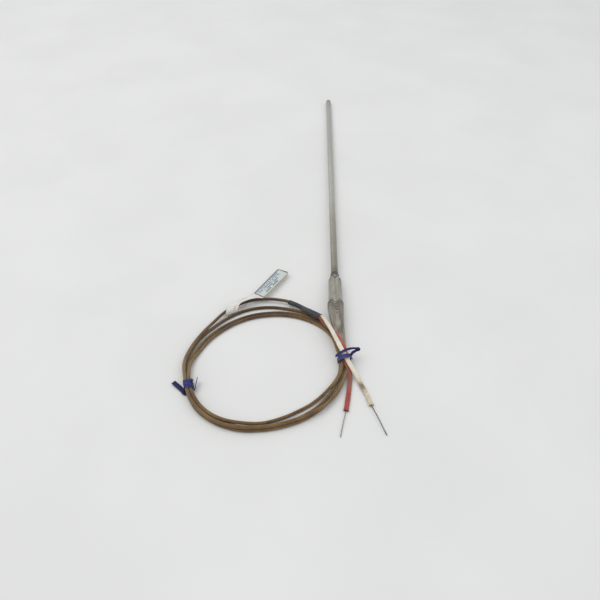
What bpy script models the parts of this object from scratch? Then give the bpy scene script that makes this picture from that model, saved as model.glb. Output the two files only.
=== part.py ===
"""Flexible-lead thermocouple: mineral-filled metal sheath, transition joint with
heat-shrink boots, coiled glass-braid cable, sleeved lead ends, two twist ties
and a looped flag label.  It lies on a flat surface, +Z up.

Frame: origin at the flat pole of the sheath's welded tip; +Y along the probe
towards the tip; the surface it lies on is TABLE below the origin.
All working numbers are millimetres, multiplied by MM when a mesh is written.
"""
import math

import bmesh
import bpy
import numpy as np

MM = 0.001
UP = np.array([0.0, 0.0, 1.0])
SHARP_ANGLE = math.radians(40)           # edges bent more than this are shaded sharp

# ---------------------------------------------------------------- driving sizes
TABLE = 3.20                             # the surface lies this far below the tip
PROBE_RISE = 4.10 / 405.0                # the fat boot lifts the back of the probe
GAP = 0.30                               # clearance between nested probe parts

# Sheath and its filling.  Places along the probe are distances back from the tip.
SHEATH_OD, SHEATH_ID = 6.35, 4.70        # quarter-inch sheath tube
SHEATH_R = SHEATH_OD / 2
SHEATH_END = 376.0
DOME_ANGLES = (14, 32, 50, 68, 90)       # degrees from the pole to the weld dome's rim
DOME_FLATTENING = 0.9                    # dome depth over that of a half ball
CAP_RIM, CAP_PLUG = 0.6, 2.4             # weld cap behind the dome: rim, then plug in the tube
PLUG_CLEARANCE = 0.15
MGO_OD, MGO_BORE = 4.10, 1.50            # packed magnesia and its two bores
ELEMENT_D, ELEMENT_PITCH = 1.00, 2.00    # thermoelement wires in the sheath
BEAD_AT = 9.0                            # measuring junction
CUTTER_OVERSHOOT = 1.0                   # cutters pass both ends of what they bore

# Transition joint
BARREL_OD, BARREL_ID = 10.40, 8.80
BARREL_START, BARREL_END = 370.0, 404.0
NECK_R = SHEATH_R + GAP                  # bore of the barrel's narrow front
COLLAR_R = NECK_R + 0.5                  # outside of the barrel's narrow front
POT_START, POT_END = SHEATH_END + 1.5, SHEATH_END + 6.0
POT_BORE_R = 0.8
SPLICE_OD, SPLICE_ID, SPLICE_LEN = 2.60, 1.70, 7.0
SPLICE_AT, SPLICE_PITCH = 391.0, 3.60
WIRE_STOP = 0.3                          # wires end this far from the splice's middle
SPLICE_SLEEVE_R, SPLICE_SLEEVE_BORE_R = 1.69, 1.50
SPLICE_SLEEVE_OVERHANG = 1.0

# Cable and leads
CABLE_OD = 2.70                          # braided cable jacket
JACKET_WALL = 0.20
INSUL_R, INSUL_BORE_R = 0.50, 0.38       # braid on each conductor
WIRE_R = 0.31                            # conductor
PAIR = 0.56                              # each conductor, off the cable's middle
LEAD_SPREAD = np.array([1.18, 1.26, 1.32])     # leads off the breakout sleeve's middle
SLEEVE_HALF = np.array([3.70, 2.10]) / 2       # soft lead sleeve, pressed to an oval
SLEEVE_HALF_SQUEEZED = np.array([1.05, 1.22])  # the same inside the breakout sleeve
SLEEVE_WALL = np.array([0.36, 0.42])           # its wall, at the sides and at top and bottom
BREAKOUT_WALL = 0.42
REAR_BOOT_WALL = 0.36

# Coil
LAY = 2.86                               # height of one turn lying on another
COIL_MID = np.array([-58.8, -474.1, -TABLE])
SKEW = math.radians(1.04)                # coil angles are counted from this line
EASED = 3.0                              # turns are eased at least this far apart
EASING_PASSES = 60
STEP = 15                                # degrees from one cable station to the next

# Ties and tag
RIBBON_SIZE = np.array([3.90, 0.56])     # width and thickness
RIBBON_BORE, TIE_WIRE = 0.34, 0.18       # square bore and square wire core
RIGHT_TIE_AT = 355.0                     # degrees round the coil
TAG_W, TAG_T = 10.6, 0.34
LABEL_T, LABEL_GAP = 0.22, 0.15          # printed label and its clearance over the tag

# ---------------------------------------------------------------- lay of the cable
# Each turn of the coil, clockwise from above: (degrees round, radius, height over the
# surface).  The turns are gathered two over two in the left tie, with the first and the
# last on top.  Elsewhere the first three mostly lie on the surface and the last above it.
LOW = CABLE_OD / 2 + 0.02
TIED = LOW + 0.75                        # a tie's ribbon passes under the turns
TOP = TIED + LAY
TURN_1 = [
    (0, 62.9, 5.4), (15, 60.7, 4.9), (30, 57.1, 2.8), (45, 54.9, LOW), (60, 54.1, LOW),
    (75, 55.2, LOW), (90, 57.6, LOW), (105, 60.9, 3.0), (120, 63.4, 4.25), (135, 64.2, TOP),
    (150, 63.0, TOP), (165, 61.4, TOP), (180, 59.6, 3.1), (195, 56.2, LOW), (210, 54.6, LOW),
    (225, 53.8, LOW), (240, 54.2, LOW), (255, 55.3, LOW), (270, 56.7, LOW), (285, 59.0, LOW),
    (300, 61.3, LOW), (315, 63.4, LOW), (330, 63.9, LOW), (345, 61.7, TIED), (360, 61.4, TIED)]
TURN_2 = [
    (0, 61.4, TIED), (15, 60.6, LOW), (30, 60.1, LOW), (45, 60.0, LOW), (60, 59.7, LOW),
    (75, 59.7, LOW), (90, 60.7, LOW), (105, 62.6, LOW), (120, 63.9, LOW),
    (135, 64.3, LOW + 0.2), (150, 63.0, TIED), (165, 61.4, TIED), (180, 62.0, LOW),
    (195, 59.2, LOW), (210, 57.4, LOW), (225, 56.6, LOW), (240, 57.0, LOW), (255, 58.1, LOW),
    (270, 59.5, LOW), (285, 61.8, LOW), (300, 64.1, LOW), (315, 66.2, LOW), (330, 66.7, LOW),
    (345, 64.5, TIED), (360, 64.2, TIED)]
TURN_3 = [
    (0, 64.2, TIED), (15, 63.4, LOW), (30, 62.9, LOW), (45, 62.9, LOW), (60, 62.6, LOW),
    (75, 62.6, LOW), (90, 63.6, LOW), (105, 65.5, LOW), (120, 66.8, LOW),
    (135, 67.1, LOW + 0.2), (150, 65.8, TIED), (165, 64.2, TIED), (180, 64.8, LOW),
    (195, 63.2, LOW), (210, 62.4, LOW), (225, 62.0, LOW), (240, 63.8, LOW), (255, 66.0, LOW),
    (270, 67.0, LOW), (285, 67.2, LOW), (300, 68.3, LOW), (315, 69.2, LOW), (330, 69.6, LOW),
    (345, 67.6, TIED), (360, 67.1, TIED + 0.7)]
TURN_4 = [
    (0, 67.1, TIED + 0.7), (15, 65.5, 3.4), (30, 64.9, 3.6), (45, 63.6, 4.1), (60, 62.0, 4.0),
    (75, 61.6, 4.0), (90, 62.8, 4.0), (105, 65.2, 4.0), (120, 66.9, 4.3),
    (135, 67.2, TOP - 0.2), (150, 65.8, TOP), (165, 64.2, TOP), (180, 64.7, TOP - 0.4),
    (195, 63.3, 4.2), (210, 62.8, 4.2), (225, 65.0, 3.6), (239, 70.1, 3.4), (245, 71.8, 3.4),
    (250, 73.6, 3.4), (260, 75.4, 3.4), (270, 76.1, 3.4), (283, 75.6, 3.6)]
TURNS = (TURN_1, TURN_2, TURN_3, TURN_4)
COIL_END = 3 * 360 + TURN_4[-1][0]       # degrees from the coil's start

# Middle lines: (x, y, height over the surface).
# Rear boot, from the transition to the right tie
BOOT_LINE = [
    (0.0, -404.0, 7.30), (0.0, -412.0, 7.25), (0.5, -423.0, 6.9), (1.5, -434.0, 6.4),
    (3.0, -445.0, 6.25), (4.2, -454.0, 6.0), (4.6, -462.0, 5.7), (4.4, -467.0, 5.5)]
# Breakout sleeve, from the cable's end to where the two leads come out
BREAKOUT_LINE = [(-41.1, -402.4, 3.7), (-34.0, -407.0, 4.4), (-24.2, -415.3, 5.6),
                 (-14.0, -423.7, 6.9)]
# Leads after the breakout: sleeved part, then the rest to the conductor's end
WHITE_LINE = [
    (-11.5, -425.2, 8.1), (-9.4, -429.8, 8.7), (-6.2, -437.3, 9.8), (-3.6, -445.6, 11.2),
    (-1.2, -453.0, 11.9), (0.9, -458.8, 11.9), (2.8, -464.2, 11.6), (5.7, -470.5, 10.8),
    (8.7, -476.8, 9.1), (12.5, -482.6, 6.0), (15.9, -488.5, 3.3), (17.9, -493.2, 2.0),
    (21.6, -501.9, 1.35), (24.9, -513.3, 1.3)]
WHITE_WIRE = [(28.5, -523.2, 1.8), (31.9, -532.6, 1.3), (34.7, -539.9, 0.6)]
RED_LINE = [
    (-13.4, -426.8, 5.9), (-10.6, -430.2, 5.1), (-6.6, -435.6, 6.6), (-2.8, -442.9, 8.8),
    (1.2, -450.2, 9.7), (3.3, -455.6, 9.5), (5.3, -460.0, 9.1), (6.3, -465.3, 8.6),
    (6.4, -470.8, 8.0), (6.9, -475.9, 7.1), (9.1, -480.5, 4.9), (9.9, -486.0, 2.4),
    (9.3, -492.4, 1.4), (7.8, -504.0, 1.3), (5.5, -518.7, 1.3)]
RED_WIRE = [(4.7, -522.5, 1.4), (2.8, -530.8, 1.1), (0.6, -542.2, 0.6)]

# Rear boot's outside: (distance along -Y, half width, half height)
BOOT_HALF = [
    (402.0, 7.15, 7.15), (409.0, 7.05, 7.0), (423.0, 6.3, 5.8), (434.0, 5.3, 4.1),
    (445.0, 4.2, 2.75), (454.0, 3.15, 2.2), (464.0, 2.25, 1.88), (476.0, 1.9, 1.8)]
# Breakout sleeve's outside: (fraction of its length, half width, half height)
BREAKOUT_HALF = [(0, 2.05, 2.05), (0.4, 2.15, 2.1), (0.7, 2.85, 2.15), (1, 3.0, 2.2)]

# ---------------------------------------------------------------- materials
MATERIALS = {
    "stainless_steel": dict(color=(0.39, 0.37, 0.33), roughness=0.38, metallic=1.0),
    "weld_metal": dict(color=(0.33, 0.31, 0.28), roughness=0.45, metallic=1.0),
    "magnesia": dict(color=(0.86, 0.85, 0.80), roughness=0.9),
    "iron_wire": dict(color=(0.16, 0.15, 0.14), roughness=0.45, metallic=1.0),
    "constantan_wire": dict(color=(0.42, 0.40, 0.36), roughness=0.4, metallic=1.0),
    "junction_bead": dict(color=(0.30, 0.27, 0.24), roughness=0.5, metallic=1.0),
    "potting_cement": dict(color=(0.55, 0.50, 0.42), roughness=0.85),
    "splice_metal": dict(color=(0.55, 0.53, 0.48), roughness=0.35, metallic=1.0),
    "grey_shrink": dict(color=(0.31, 0.29, 0.25), roughness=0.6),
    "brown_glass_braid": dict(color=(0.22, 0.14, 0.075), roughness=0.8),
    "white_glass_braid": dict(color=(0.78, 0.73, 0.60), roughness=0.85),
    "red_glass_braid": dict(color=(0.40, 0.09, 0.06), roughness=0.85),
    "black_shrink": dict(color=(0.03, 0.03, 0.032), roughness=0.5),
    "tie_ribbon": dict(color=(0.07, 0.055, 0.25), roughness=0.45),
    "tie_wire": dict(color=(0.35, 0.34, 0.36), roughness=0.4, metallic=1.0),
    "label_strip": dict(color=(0.74, 0.70, 0.65), roughness=0.6),
    "label_print": dict(color=(0.70, 0.72, 0.68), roughness=0.4),
}


def clear_scene():
    for ob in list(bpy.data.objects):
        bpy.data.objects.remove(ob, do_unlink=True)
    for block in (bpy.data.meshes, bpy.data.materials, bpy.data.curves):
        for item in list(block):
            if item.users == 0:
                block.remove(item)


def make_material(name, color, roughness, metallic=0.0):
    mat = bpy.data.materials.new(name)
    mat.use_nodes = True
    inputs = mat.node_tree.nodes["Principled BSDF"].inputs
    inputs["Base Color"].default_value = (*color, 1.0)
    inputs["Roughness"].default_value = roughness
    inputs["Metallic"].default_value = metallic


# ---------------------------------------------------------------- curves and directions
def smooth_through(keys, x):
    """Value at x of the smooth curve through (position, value...) rows."""
    keys = np.asarray(keys, float)
    at, value = keys[:, 0], keys[:, 1:]
    chord = (value[1:] - value[:-1]) / (at[1:] - at[:-1])[:, None]
    slope = np.zeros_like(value)
    slope[0], slope[-1] = chord[0], chord[-1]
    for i in range(1, len(at) - 1):
        before, after = at[i] - at[i - 1], at[i + 1] - at[i]
        slope[i] = (chord[i - 1] * after + chord[i] * before) / (before + after)
    i = int(np.clip(np.searchsorted(at, x) - 1, 0, len(at) - 2))
    span = at[i + 1] - at[i]
    t = float(np.clip((x - at[i]) / span, 0, 1))
    # cubic Hermite blend of the two ends' values and slopes
    return ((2 * t ** 3 - 3 * t ** 2 + 1) * value[i]
            + (t ** 3 - 2 * t ** 2 + t) * span * slope[i]
            + (-2 * t ** 3 + 3 * t ** 2) * value[i + 1]
            + (t ** 3 - t ** 2) * span * slope[i + 1])


def path_through(points, step):
    """Points about `step` apart on the smooth curve through the given ones."""
    points = np.asarray(points, float)
    reach = np.r_[0, np.cumsum(np.linalg.norm(np.diff(points, axis=0), axis=1))]
    keys = np.c_[reach, points]
    parts = max(2, int(round(reach[-1] / step)))
    return np.array([smooth_through(keys, s) for s in np.linspace(0, reach[-1], parts + 1)])


def on_table(rows):
    """Points from (x, y, height over the surface) rows."""
    return np.array(rows, float) - TABLE * UP


def unit(vectors):
    return vectors / np.linalg.norm(vectors, axis=1)[:, None]


def tangents(path):
    ahead = np.zeros_like(path)
    ahead[1:-1] = path[2:] - path[:-2]
    ahead[0], ahead[-1] = path[1] - path[0], path[-1] - path[-2]
    return unit(ahead)


def cross_axes(path):
    """Unit vectors to the right of travel and upward at each point of a path."""
    tangent = tangents(path)
    side = unit(np.cross(tangent, UP))
    return side, np.cross(side, tangent)


# ---------------------------------------------------------------- meshes
def write(name, verts, faces, mat, smooth):
    mesh = bpy.data.meshes.new(name)
    mesh.from_pydata((verts * MM).tolist(), [], faces)
    bm = bmesh.new()
    bm.from_mesh(mesh)
    bmesh.ops.recalc_face_normals(bm, faces=bm.faces)
    bm.to_mesh(mesh)
    bm.free()
    if smooth:
        mesh.shade_smooth()
        mesh.set_sharp_from_angle(angle=SHARP_ANGLE)
    ob = bpy.data.objects.new(name, mesh)
    mesh.materials.append(bpy.data.materials[mat])
    bpy.context.scene.collection.objects.link(ob)
    return ob


def ring(centre, side, up, halves, count, turn):
    """Points of an ellipse; turn shifts them by a fraction of their spacing."""
    angle = (np.arange(count) + turn) * 2 * math.pi / count
    return (centre + np.outer(np.cos(angle) * halves[0], side)
            + np.outer(np.sin(angle) * halves[1], up))


def skin_faces(start, rows, count):
    """Quads joining rows of rings whose first vertex is number start."""
    quads = []
    for row in range(rows - 1):
        for j in range(count):
            a = start + row * count + j
            b = start + row * count + (j + 1) % count
            quads.append((a, b, b + count, a + count))
    return quads


def loft(name, outer, inner, mat, split_ends=False, smooth=True):
    """Solid over a row of rings, or with inner rings a tube with flat-ended walls.

    split_ends makes the tube's end walls of triangles instead of quads.
    """
    rows, count = outer.shape[:2]
    last = (rows - 1) * count
    verts = outer.reshape(-1, 3)
    faces = skin_faces(0, rows, count)
    if inner is None:
        faces.append(tuple(range(count))[::-1])
        faces.append(tuple(range(last, last + count)))
        return write(name, verts, faces, mat, smooth)

    bore = rows * count
    bore_last = bore + (len(inner) - 1) * count
    verts = np.vstack([verts, inner.reshape(-1, 3)])
    faces += [quad[::-1] for quad in skin_faces(bore, len(inner), count)]
    for out_at, in_at, flip in ((0, bore, True), (last, bore_last, False)):
        for j in range(count):
            k = (j + 1) % count
            a, b, c, d = out_at + j, out_at + k, in_at + k, in_at + j
            walls = [(a, b, d), (b, c, d)] if split_ends else [(a, b, c, d)]
            faces += [wall[::-1] if flip else wall for wall in walls]
    return write(name, verts, faces, mat, smooth)


def sweep(name, path, outer, inner, count, mat, turn=0.0, axes=None, span=slice(None),
          smooth=True):
    """Tube (or rod, with inner None) along the span of a path.

    outer and inner are a radius, or (half width, half height) for all points or each.
    """
    path = np.asarray(path, float)
    side, up = axes or cross_axes(path)
    path, side, up = path[span], side[span], up[span]

    def rings(size):
        sizes = np.broadcast_to(size, (len(path), 2))
        return np.array([ring(*station, count, turn)
                         for station in zip(path, side, up, sizes)])

    bore = None if inner is None else rings(inner)
    return loft(name, rings(outer), bore, mat, split_ends=True, smooth=smooth)


# ---------------------------------------------------------------- the probe's axis
PROBE_DIR = np.array([0.0, -1.0, PROBE_RISE]) / math.hypot(1.0, PROBE_RISE)  # backwards
PROBE_SIDE = np.array([1.0, 0.0, 0.0])
PROBE_DOWN = np.cross(PROBE_SIDE, PROBE_DIR)


def probe_point(back):
    return PROBE_DIR * back


def turned(name, profile, mat, count, bore=None):
    """Solid of revolution about the probe's axis.

    profile and bore rows are (distance from the tip, radius), front to back.
    """
    def rings(rows):
        return np.array([ring(probe_point(back), PROBE_SIDE, PROBE_DOWN, (radius, radius),
                              count, 0.5) for back, radius in rows])

    return loft(name, rings(profile), None if bore is None else rings(bore), mat)


def probe_sweep(name, stations, radius, bore_radius, count, mat, turn=0.0):
    """Rod or tube through (distance from the tip, offset to +X) stations."""
    path = [probe_point(back) + across * PROBE_SIDE for back, across in stations]
    axes = tuple(np.tile(axis, (len(path), 1)) for axis in (PROBE_SIDE, PROBE_DOWN))
    return sweep(name, path, radius, bore_radius, count, mat, turn=turn, axes=axes)


def cut_element_bores(target, name, start, end, radius, mat):
    """Bore both element holes through a part that runs from start to end."""
    for side in (-1, 1):
        across = side * ELEMENT_PITCH / 2
        stations = [(start - CUTTER_OVERSHOOT, across), (end + CUTTER_OVERSHOOT, across)]
        cutter = probe_sweep(f"{name}_{side + 1}", stations, radius, None, 8, mat, turn=0.5)
        cutter.hide_render = True
        cutter.display_type = "WIRE"
        mod = target.modifiers.new("cut", "BOOLEAN")
        mod.operation = "DIFFERENCE"
        mod.solver = "EXACT"
        mod.object = cutter


# ---------------------------------------------------------------- probe
def build_sheath():
    """Welded tip cap with a plug in the tube, and the sheath tube behind it."""
    dome = [(SHEATH_R * (1 - math.cos(angle)) * DOME_FLATTENING, SHEATH_R * math.sin(angle))
            for angle in np.radians(DOME_ANGLES)]
    pole = dome[0][0]
    dome = [(back - pole, radius) for back, radius in dome]
    rim = dome[-1][0] + CAP_RIM
    plug_r = SHEATH_ID / 2 - PLUG_CLEARANCE
    turned("tip_weld_cap", dome + [(rim, SHEATH_R), (rim, plug_r), (rim + CAP_PLUG, plug_r)],
           "weld_metal", 16)
    start = rim + 0.1
    turned("sheath_tube", [(start, SHEATH_R), (SHEATH_END, SHEATH_R)], "stainless_steel", 16,
           bore=[(start, SHEATH_ID / 2), (SHEATH_END, SHEATH_ID / 2)])


def build_magnesia():
    start, end = BEAD_AT + 2.4, SHEATH_END - 5.0
    mgo = turned("mgo_insulation", [(start, MGO_OD / 2), (end, MGO_OD / 2)], "magnesia", 12)
    cut_element_bores(mgo, "mgo_bore_cutter", start, end, MGO_BORE / 2, "magnesia")


def build_junction_bead():
    turned("hot_junction_bead",
           [(BEAD_AT - 1.5, 0.5), (BEAD_AT - 1.1, 1.35), (BEAD_AT, 1.75),
            (BEAD_AT + 1.0, 1.6), (BEAD_AT + 1.4, 1.2)], "junction_bead", 10)


def build_thermoelement(sign, side, mat):
    """Wire from just behind the bead, spreading in the joint to end in its splice."""
    element, splice = side * ELEMENT_PITCH / 2, side * SPLICE_PITCH / 2
    stations = [(BEAD_AT + 1.7, element), (BARREL_START + 11, element),
                (SPLICE_AT - SPLICE_LEN / 2 - 2, splice), (SPLICE_AT - WIRE_STOP, splice)]
    probe_sweep("thermoelement_" + sign, stations, ELEMENT_D / 2, None, 6, mat)


# ---------------------------------------------------------------- transition joint
def build_barrel():
    """Narrow collar, cone and wide barrel, all bored through."""
    barrel_r, bore_r = BARREL_OD / 2, BARREL_ID / 2
    turned("transition_barrel",
           [(BARREL_START, COLLAR_R), (BARREL_START + 2.0, COLLAR_R),
            (BARREL_START + 6.5, barrel_r), (BARREL_END, barrel_r)], "stainless_steel", 20,
           bore=[(BARREL_START, NECK_R), (BARREL_START + 2.4, NECK_R),
                 (BARREL_START + 6.9, bore_r), (BARREL_END, bore_r)])


def build_potting():
    radius = BARREL_ID / 2 - GAP
    pot = turned("potting_plug", [(POT_START, radius), (POT_END, radius)],
                 "potting_cement", 16)
    cut_element_bores(pot, "potting_cutter", POT_START, POT_END, POT_BORE_R, "potting_cement")


def build_splice(sign, side):
    """Splice tube and the insulating sleeve over it."""
    def stations(reach):
        across = side * SPLICE_PITCH / 2
        return [(SPLICE_AT - reach, across), (SPLICE_AT + reach, across)]

    probe_sweep("splice_" + sign, stations(SPLICE_LEN / 2), SPLICE_OD / 2, SPLICE_ID / 2, 8,
                "splice_metal")
    probe_sweep("splice_sleeve_" + sign, stations(SPLICE_LEN / 2 + SPLICE_SLEEVE_OVERHANG),
                SPLICE_SLEEVE_R, SPLICE_SLEEVE_BORE_R, 8, "magnesia", turn=0.5)


def build_front_boot():
    """Boot shrunk on the sheath, the barrel's collar, its cone and the barrel."""
    collar_bore, barrel_bore = COLLAR_R + GAP, BARREL_OD / 2 + GAP
    turned("front_boot",
           [(362.3, SHEATH_R + 0.72), (364.2, SHEATH_R + 0.98), (366.6, SHEATH_R + 0.80),
            (368.6, SHEATH_R + 0.98), (371.0, 4.95), (374.6, 5.95), (377.2, 6.20),
            (388.0, 6.3), (398.0, 6.5), (406.0, 6.45)], "grey_shrink", 20,
           bore=[(362.3, NECK_R), (369.2, NECK_R), (369.6, collar_bore),
                 (371.9, collar_bore), (376.3, barrel_bore), (406.0, barrel_bore)])


# ---------------------------------------------------------------- coil
def settled(degrees):
    """The live turns' [radius, height] by turn number, eased apart until none overlap."""
    spots = {k: smooth_through(keys, degrees) for k, keys in enumerate(TURNS)
             if degrees <= keys[-1][0]}
    for _ in range(EASING_PASSES):
        for i in spots:
            for j in spots:
                if j <= i:
                    continue
                apart = spots[j] - spots[i]
                dist = float(np.linalg.norm(apart))
                if dist < EASED:
                    push = apart / max(dist, 1e-6) * (EASED - dist) * 0.5
                    spots[i] = spots[i] - push
                    spots[j] = spots[j] + push
        for spot in spots.values():
            spot[1] = max(spot[1], LOW)
    return spots


def coil_directions(degrees):
    """Outward and along-the-cable directions at a place round the coil."""
    angle = SKEW - math.radians(degrees)
    return (np.array([math.cos(angle), math.sin(angle), 0.0]),
            np.array([math.sin(angle), -math.cos(angle), 0.0]))


def coil_point(degrees, spot):
    radius, height = spot
    return COIL_MID + radius * coil_directions(degrees)[0] + height * UP


def coil_path():
    """The cable's middle line from the rear boot's tail to the lead end."""
    points = []
    for total in [*range(0, COIL_END, STEP), COIL_END]:
        k, degrees = divmod(total, 360)
        spot = settled(degrees)[k]
        if degrees < STEP and k > 0:                 # ease one turn into the next
            before = smooth_through(TURNS[k - 1], 360)
            blend = degrees / STEP
            spot = spot * blend + before * (1 - blend)
        points.append(coil_point(degrees, spot))
    return np.array(points)


COIL = coil_path()
BREAKOUT = path_through(on_table(BREAKOUT_LINE), 4.2)

# The cable's middle line: in the joint, through the rear boot, round the coil and into
# the first stations of the breakout sleeve.
JOINT_PATH = [probe_point(SPLICE_AT + WIRE_STOP), probe_point(SPLICE_AT + 5.5),
              probe_point(402.0)]
SPINE = np.vstack([JOINT_PATH, path_through(on_table(BOOT_LINE[1:]), 8.0), COIL, BREAKOUT[:4]])


# ---------------------------------------------------------------- cable, leads, rear boot
def build_jacket():
    """The jacket starts inside the rear boot, behind the joint's stations."""
    sweep("cable_jacket", SPINE, CABLE_OD / 2, CABLE_OD / 2 - JACKET_WALL, 8,
          "brown_glass_braid", span=slice(len(JOINT_PATH), None))


def build_lead(sign, side, sleeve_line, wire_line, braid, core):
    """Conductor from splice to bare end, its insulation, and the sleeve on its lead.

    side is 1 to the right of travel along the cable, -1 to the left.
    """
    offset = np.full(len(SPINE), PAIR)
    offset[:2] = SPLICE_PITCH / 2
    offset[2] = 1.25
    inside = SPINE + side * offset[:, None] * cross_axes(SPINE)[0]
    in_breakout = BREAKOUT[-3:] + side * LEAD_SPREAD[:, None] * cross_axes(BREAKOUT)[0][-3:]
    outside = path_through([in_breakout[-1], *on_table(sleeve_line)], 5.4)[1:]
    sleeve = np.vstack([in_breakout, outside])
    tail = path_through([sleeve[-1], *on_table(wire_line)], 6.0)[1:]
    run = np.vstack([inside, sleeve, tail])
    sleeve_start = len(inside)
    sleeve_end = sleeve_start + len(sleeve)

    # squeezed in the breakout sleeve, relaxing to a soft oval outside it
    relax = np.clip((np.arange(len(sleeve)) - 2) / 3.0, 0, 1)[:, None]
    half = SLEEVE_HALF_SQUEEZED * (1 - relax) + SLEEVE_HALF * relax
    sweep(sign + "_lead_sleeve", run, half, half - SLEEVE_WALL, 10, braid,
          span=slice(sleeve_start, sleeve_end))
    sweep(sign + "_insulation", run, INSUL_R, INSUL_BORE_R, 5, braid,
          span=slice(1, sleeve_end - 1))
    sweep(sign + "_conductor", run, WIRE_R, None, 5, core)


def build_breakout_sleeve():
    half = np.array([smooth_through(BREAKOUT_HALF, fraction)
                     for fraction in np.linspace(0, 1, len(BREAKOUT))])
    sweep("breakout_sleeve", BREAKOUT, half, half - BREAKOUT_WALL, 12, "black_shrink")


def build_rear_boot():
    """Over the back of the front boot, narrowing down on to the cable."""
    line = on_table(BOOT_LINE)
    path = np.vstack([line[0] + (0, 2.0, 0), path_through(line, 6.0),
                      COIL[0] + (COIL[1] - COIL[0]) * 0.06])
    half = np.array([smooth_through(BOOT_HALF, -point[1]) for point in path])
    sweep("rear_boot", path, half, half - REAR_BOOT_WALL, 16, "grey_shrink")


# ---------------------------------------------------------------- ties
def tie(name, path, widths):
    """Flat ribbon with a wire core along a path; widths are its width directions."""
    tangent = tangents(path)
    widths = np.asarray(widths)
    across = unit(widths - (widths * tangent).sum(1)[:, None] * tangent)
    axes = (across, np.cross(across, tangent))
    # four points at 45 degrees: size * corner gives a rectangle of that full size
    corner = math.sqrt(0.5)
    sweep(name + "_ribbon", path, RIBBON_SIZE * corner, RIBBON_BORE * corner, 4,
          "tie_ribbon", turn=0.5, axes=axes, smooth=False)
    sweep(name + "_wire", path, TIE_WIRE * corner, None, 4, "tie_wire", turn=0.5, axes=axes,
          smooth=False)


def bundle_middle(degrees):
    return sum(coil_point(degrees, spot) for spot in settled(degrees).values()) / len(TURNS)


# Left tie's tails: (outward from the bundle's middle, along the cable, height over the middle)
LEFT_OUTER_TAIL = [(9.6, 3.6, -0.2), (7.6, 1.4, -1.2), (5.7, -0.6, -1.9), (4.2, -1.9, -1.9)]
LEFT_INNER_TAIL = [
    (-6.0, 2.2, -1.7), (-6.9, 1.0, -1.05), (-7.2, -1.4, -1.05), (-7.2, -4.8, -1.05),
    (-7.4, -6.9, -1.05), (-8.3, -6.6, -1.05), (-8.9, -3.8, -1.05), (-9.6, 0.0, -0.95),
    (-10.5, 4.6, -0.85)]


def build_left_tie():
    """Outer tail, one and a third turns round the four cables, inner tail on edge."""
    start, end = bundle_middle(150), bundle_middle(165)
    along = (end - start) / np.linalg.norm(end - start)
    outward = np.cross(UP, along)
    middle = start + (end - start) * 0.53

    half = EASED / 2 + CABLE_OD / 2 + 0.28 + RIBBON_SIZE[1] / 2
    wrap = []
    for k in range(17):
        angle = math.radians(-22 - k * 30.0)
        x, z = math.cos(angle), math.sin(angle)
        squareness = max(abs(x), abs(z)) ** 0.72     # pushes the circle towards a square
        wrap.append((half * x / squareness, -2.15 + 4.3 * k / 16.0,
                     max(half * z / squareness, -3.25)))

    rows = np.array(LEFT_OUTER_TAIL + wrap + LEFT_INNER_TAIL)
    widths = [along] * (len(LEFT_OUTER_TAIL) + len(wrap))
    widths += [0.7 * along + 0.7 * UP]               # half way through the twist on to edge
    widths += [UP] * (len(LEFT_INNER_TAIL) - 1)
    tie("left_tie", middle + rows @ np.array([outward, along, UP]), widths)


# Right tie: over the bundle and leads, out and back in a flat eye, under the bundle and
# over again.  (radius from the coil's middle, along the cable, height over the surface)
RIGHT_TIE = [
    (57.2, 0.9, 7.4), (58.8, 0.0, 9.6), (60.6, -0.9, 12.4), (63.0, -1.4, 13.6),
    (65.8, -1.2, 12.6), (67.9, -0.8, 10.2), (69.9, -1.0, 9.4), (72.4, -2.0, 9.2),
    (75.0, -3.2, 9.2), (77.2, -4.2, 9.2), (77.5, -5.2, 8.5), (75.6, -5.2, 7.9),
    (72.6, -4.6, 7.3), (70.4, -4.1, 6.4), (69.9, -3.7, 4.2), (69.7, -3.4, 1.6),
    (68.4, -3.1, 0.40), (64.3, -2.6, 0.36), (60.4, -2.0, 0.38), (59.3, -1.2, 1.6),
    (59.6, 0.4, 4.2), (60.2, 2.0, 7.6), (60.8, 3.0, 10.8), (62.5, 3.3, 12.9),
    (65.9, 3.3, 12.9), (67.9, 3.3, 10.9), (68.9, 3.3, 7.8), (69.8, 3.3, 4.8)]


def build_right_tie():
    outward, along = coil_directions(RIGHT_TIE_AT)
    path = COIL_MID + np.array(RIGHT_TIE) @ np.array([outward, along, UP])
    tie("right_tie", path, [along] * len(path))


# ---------------------------------------------------------------- tag
# A strip looped round the last turn of the cable, its flag lying back on itself.
# Edges, (x, y, height over the surface), from the flag's end to the loop's end.
# The right edge has no row for the flag's corner at the loop: it is worked out.
EDGE_LEFT = [
    (-53.5, -355.6, 2.6), (-54.2, -356.9, 2.66), (-73.8, -392.4, 4.2), (-79.4, -400.4, 6.2),
    (-84.6, -405.0, 7.9), (-90.0, -408.4, 8.3), (-94.4, -413.0, 7.5), (-96.2, -417.6, 4.8),
    (-96.2, -418.6, 1.8), (-95.5, -417.4, 0.5), (-92.6, -410.6, 0.42), (-88.0, -403.6, 1.6),
    (-83.6, -398.6, 3.6)]
EDGE_RIGHT = [
    (-45.6, -359.5, 3.55), (-45.3, -363.8, 3.91), (-72.6, -401.4, 7.0), (-79.6, -406.4, 8.3),
    (-83.4, -409.2, 8.2), (-85.3, -411.6, 6.6), (-85.7, -413.2, 4.2), (-85.3, -413.2, 1.8),
    (-84.3, -411.6, 0.5), (-81.3, -405.6, 0.42), (-76.8, -398.6, 1.3), (-72.0, -393.0, 2.6)]
LABEL_SIDE_INSET = 0.04                  # of the flag's width
LABEL_LOOP_INSET, LABEL_END_INSET = 0.03, 0.3  # of the flag's long and short stretches


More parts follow.
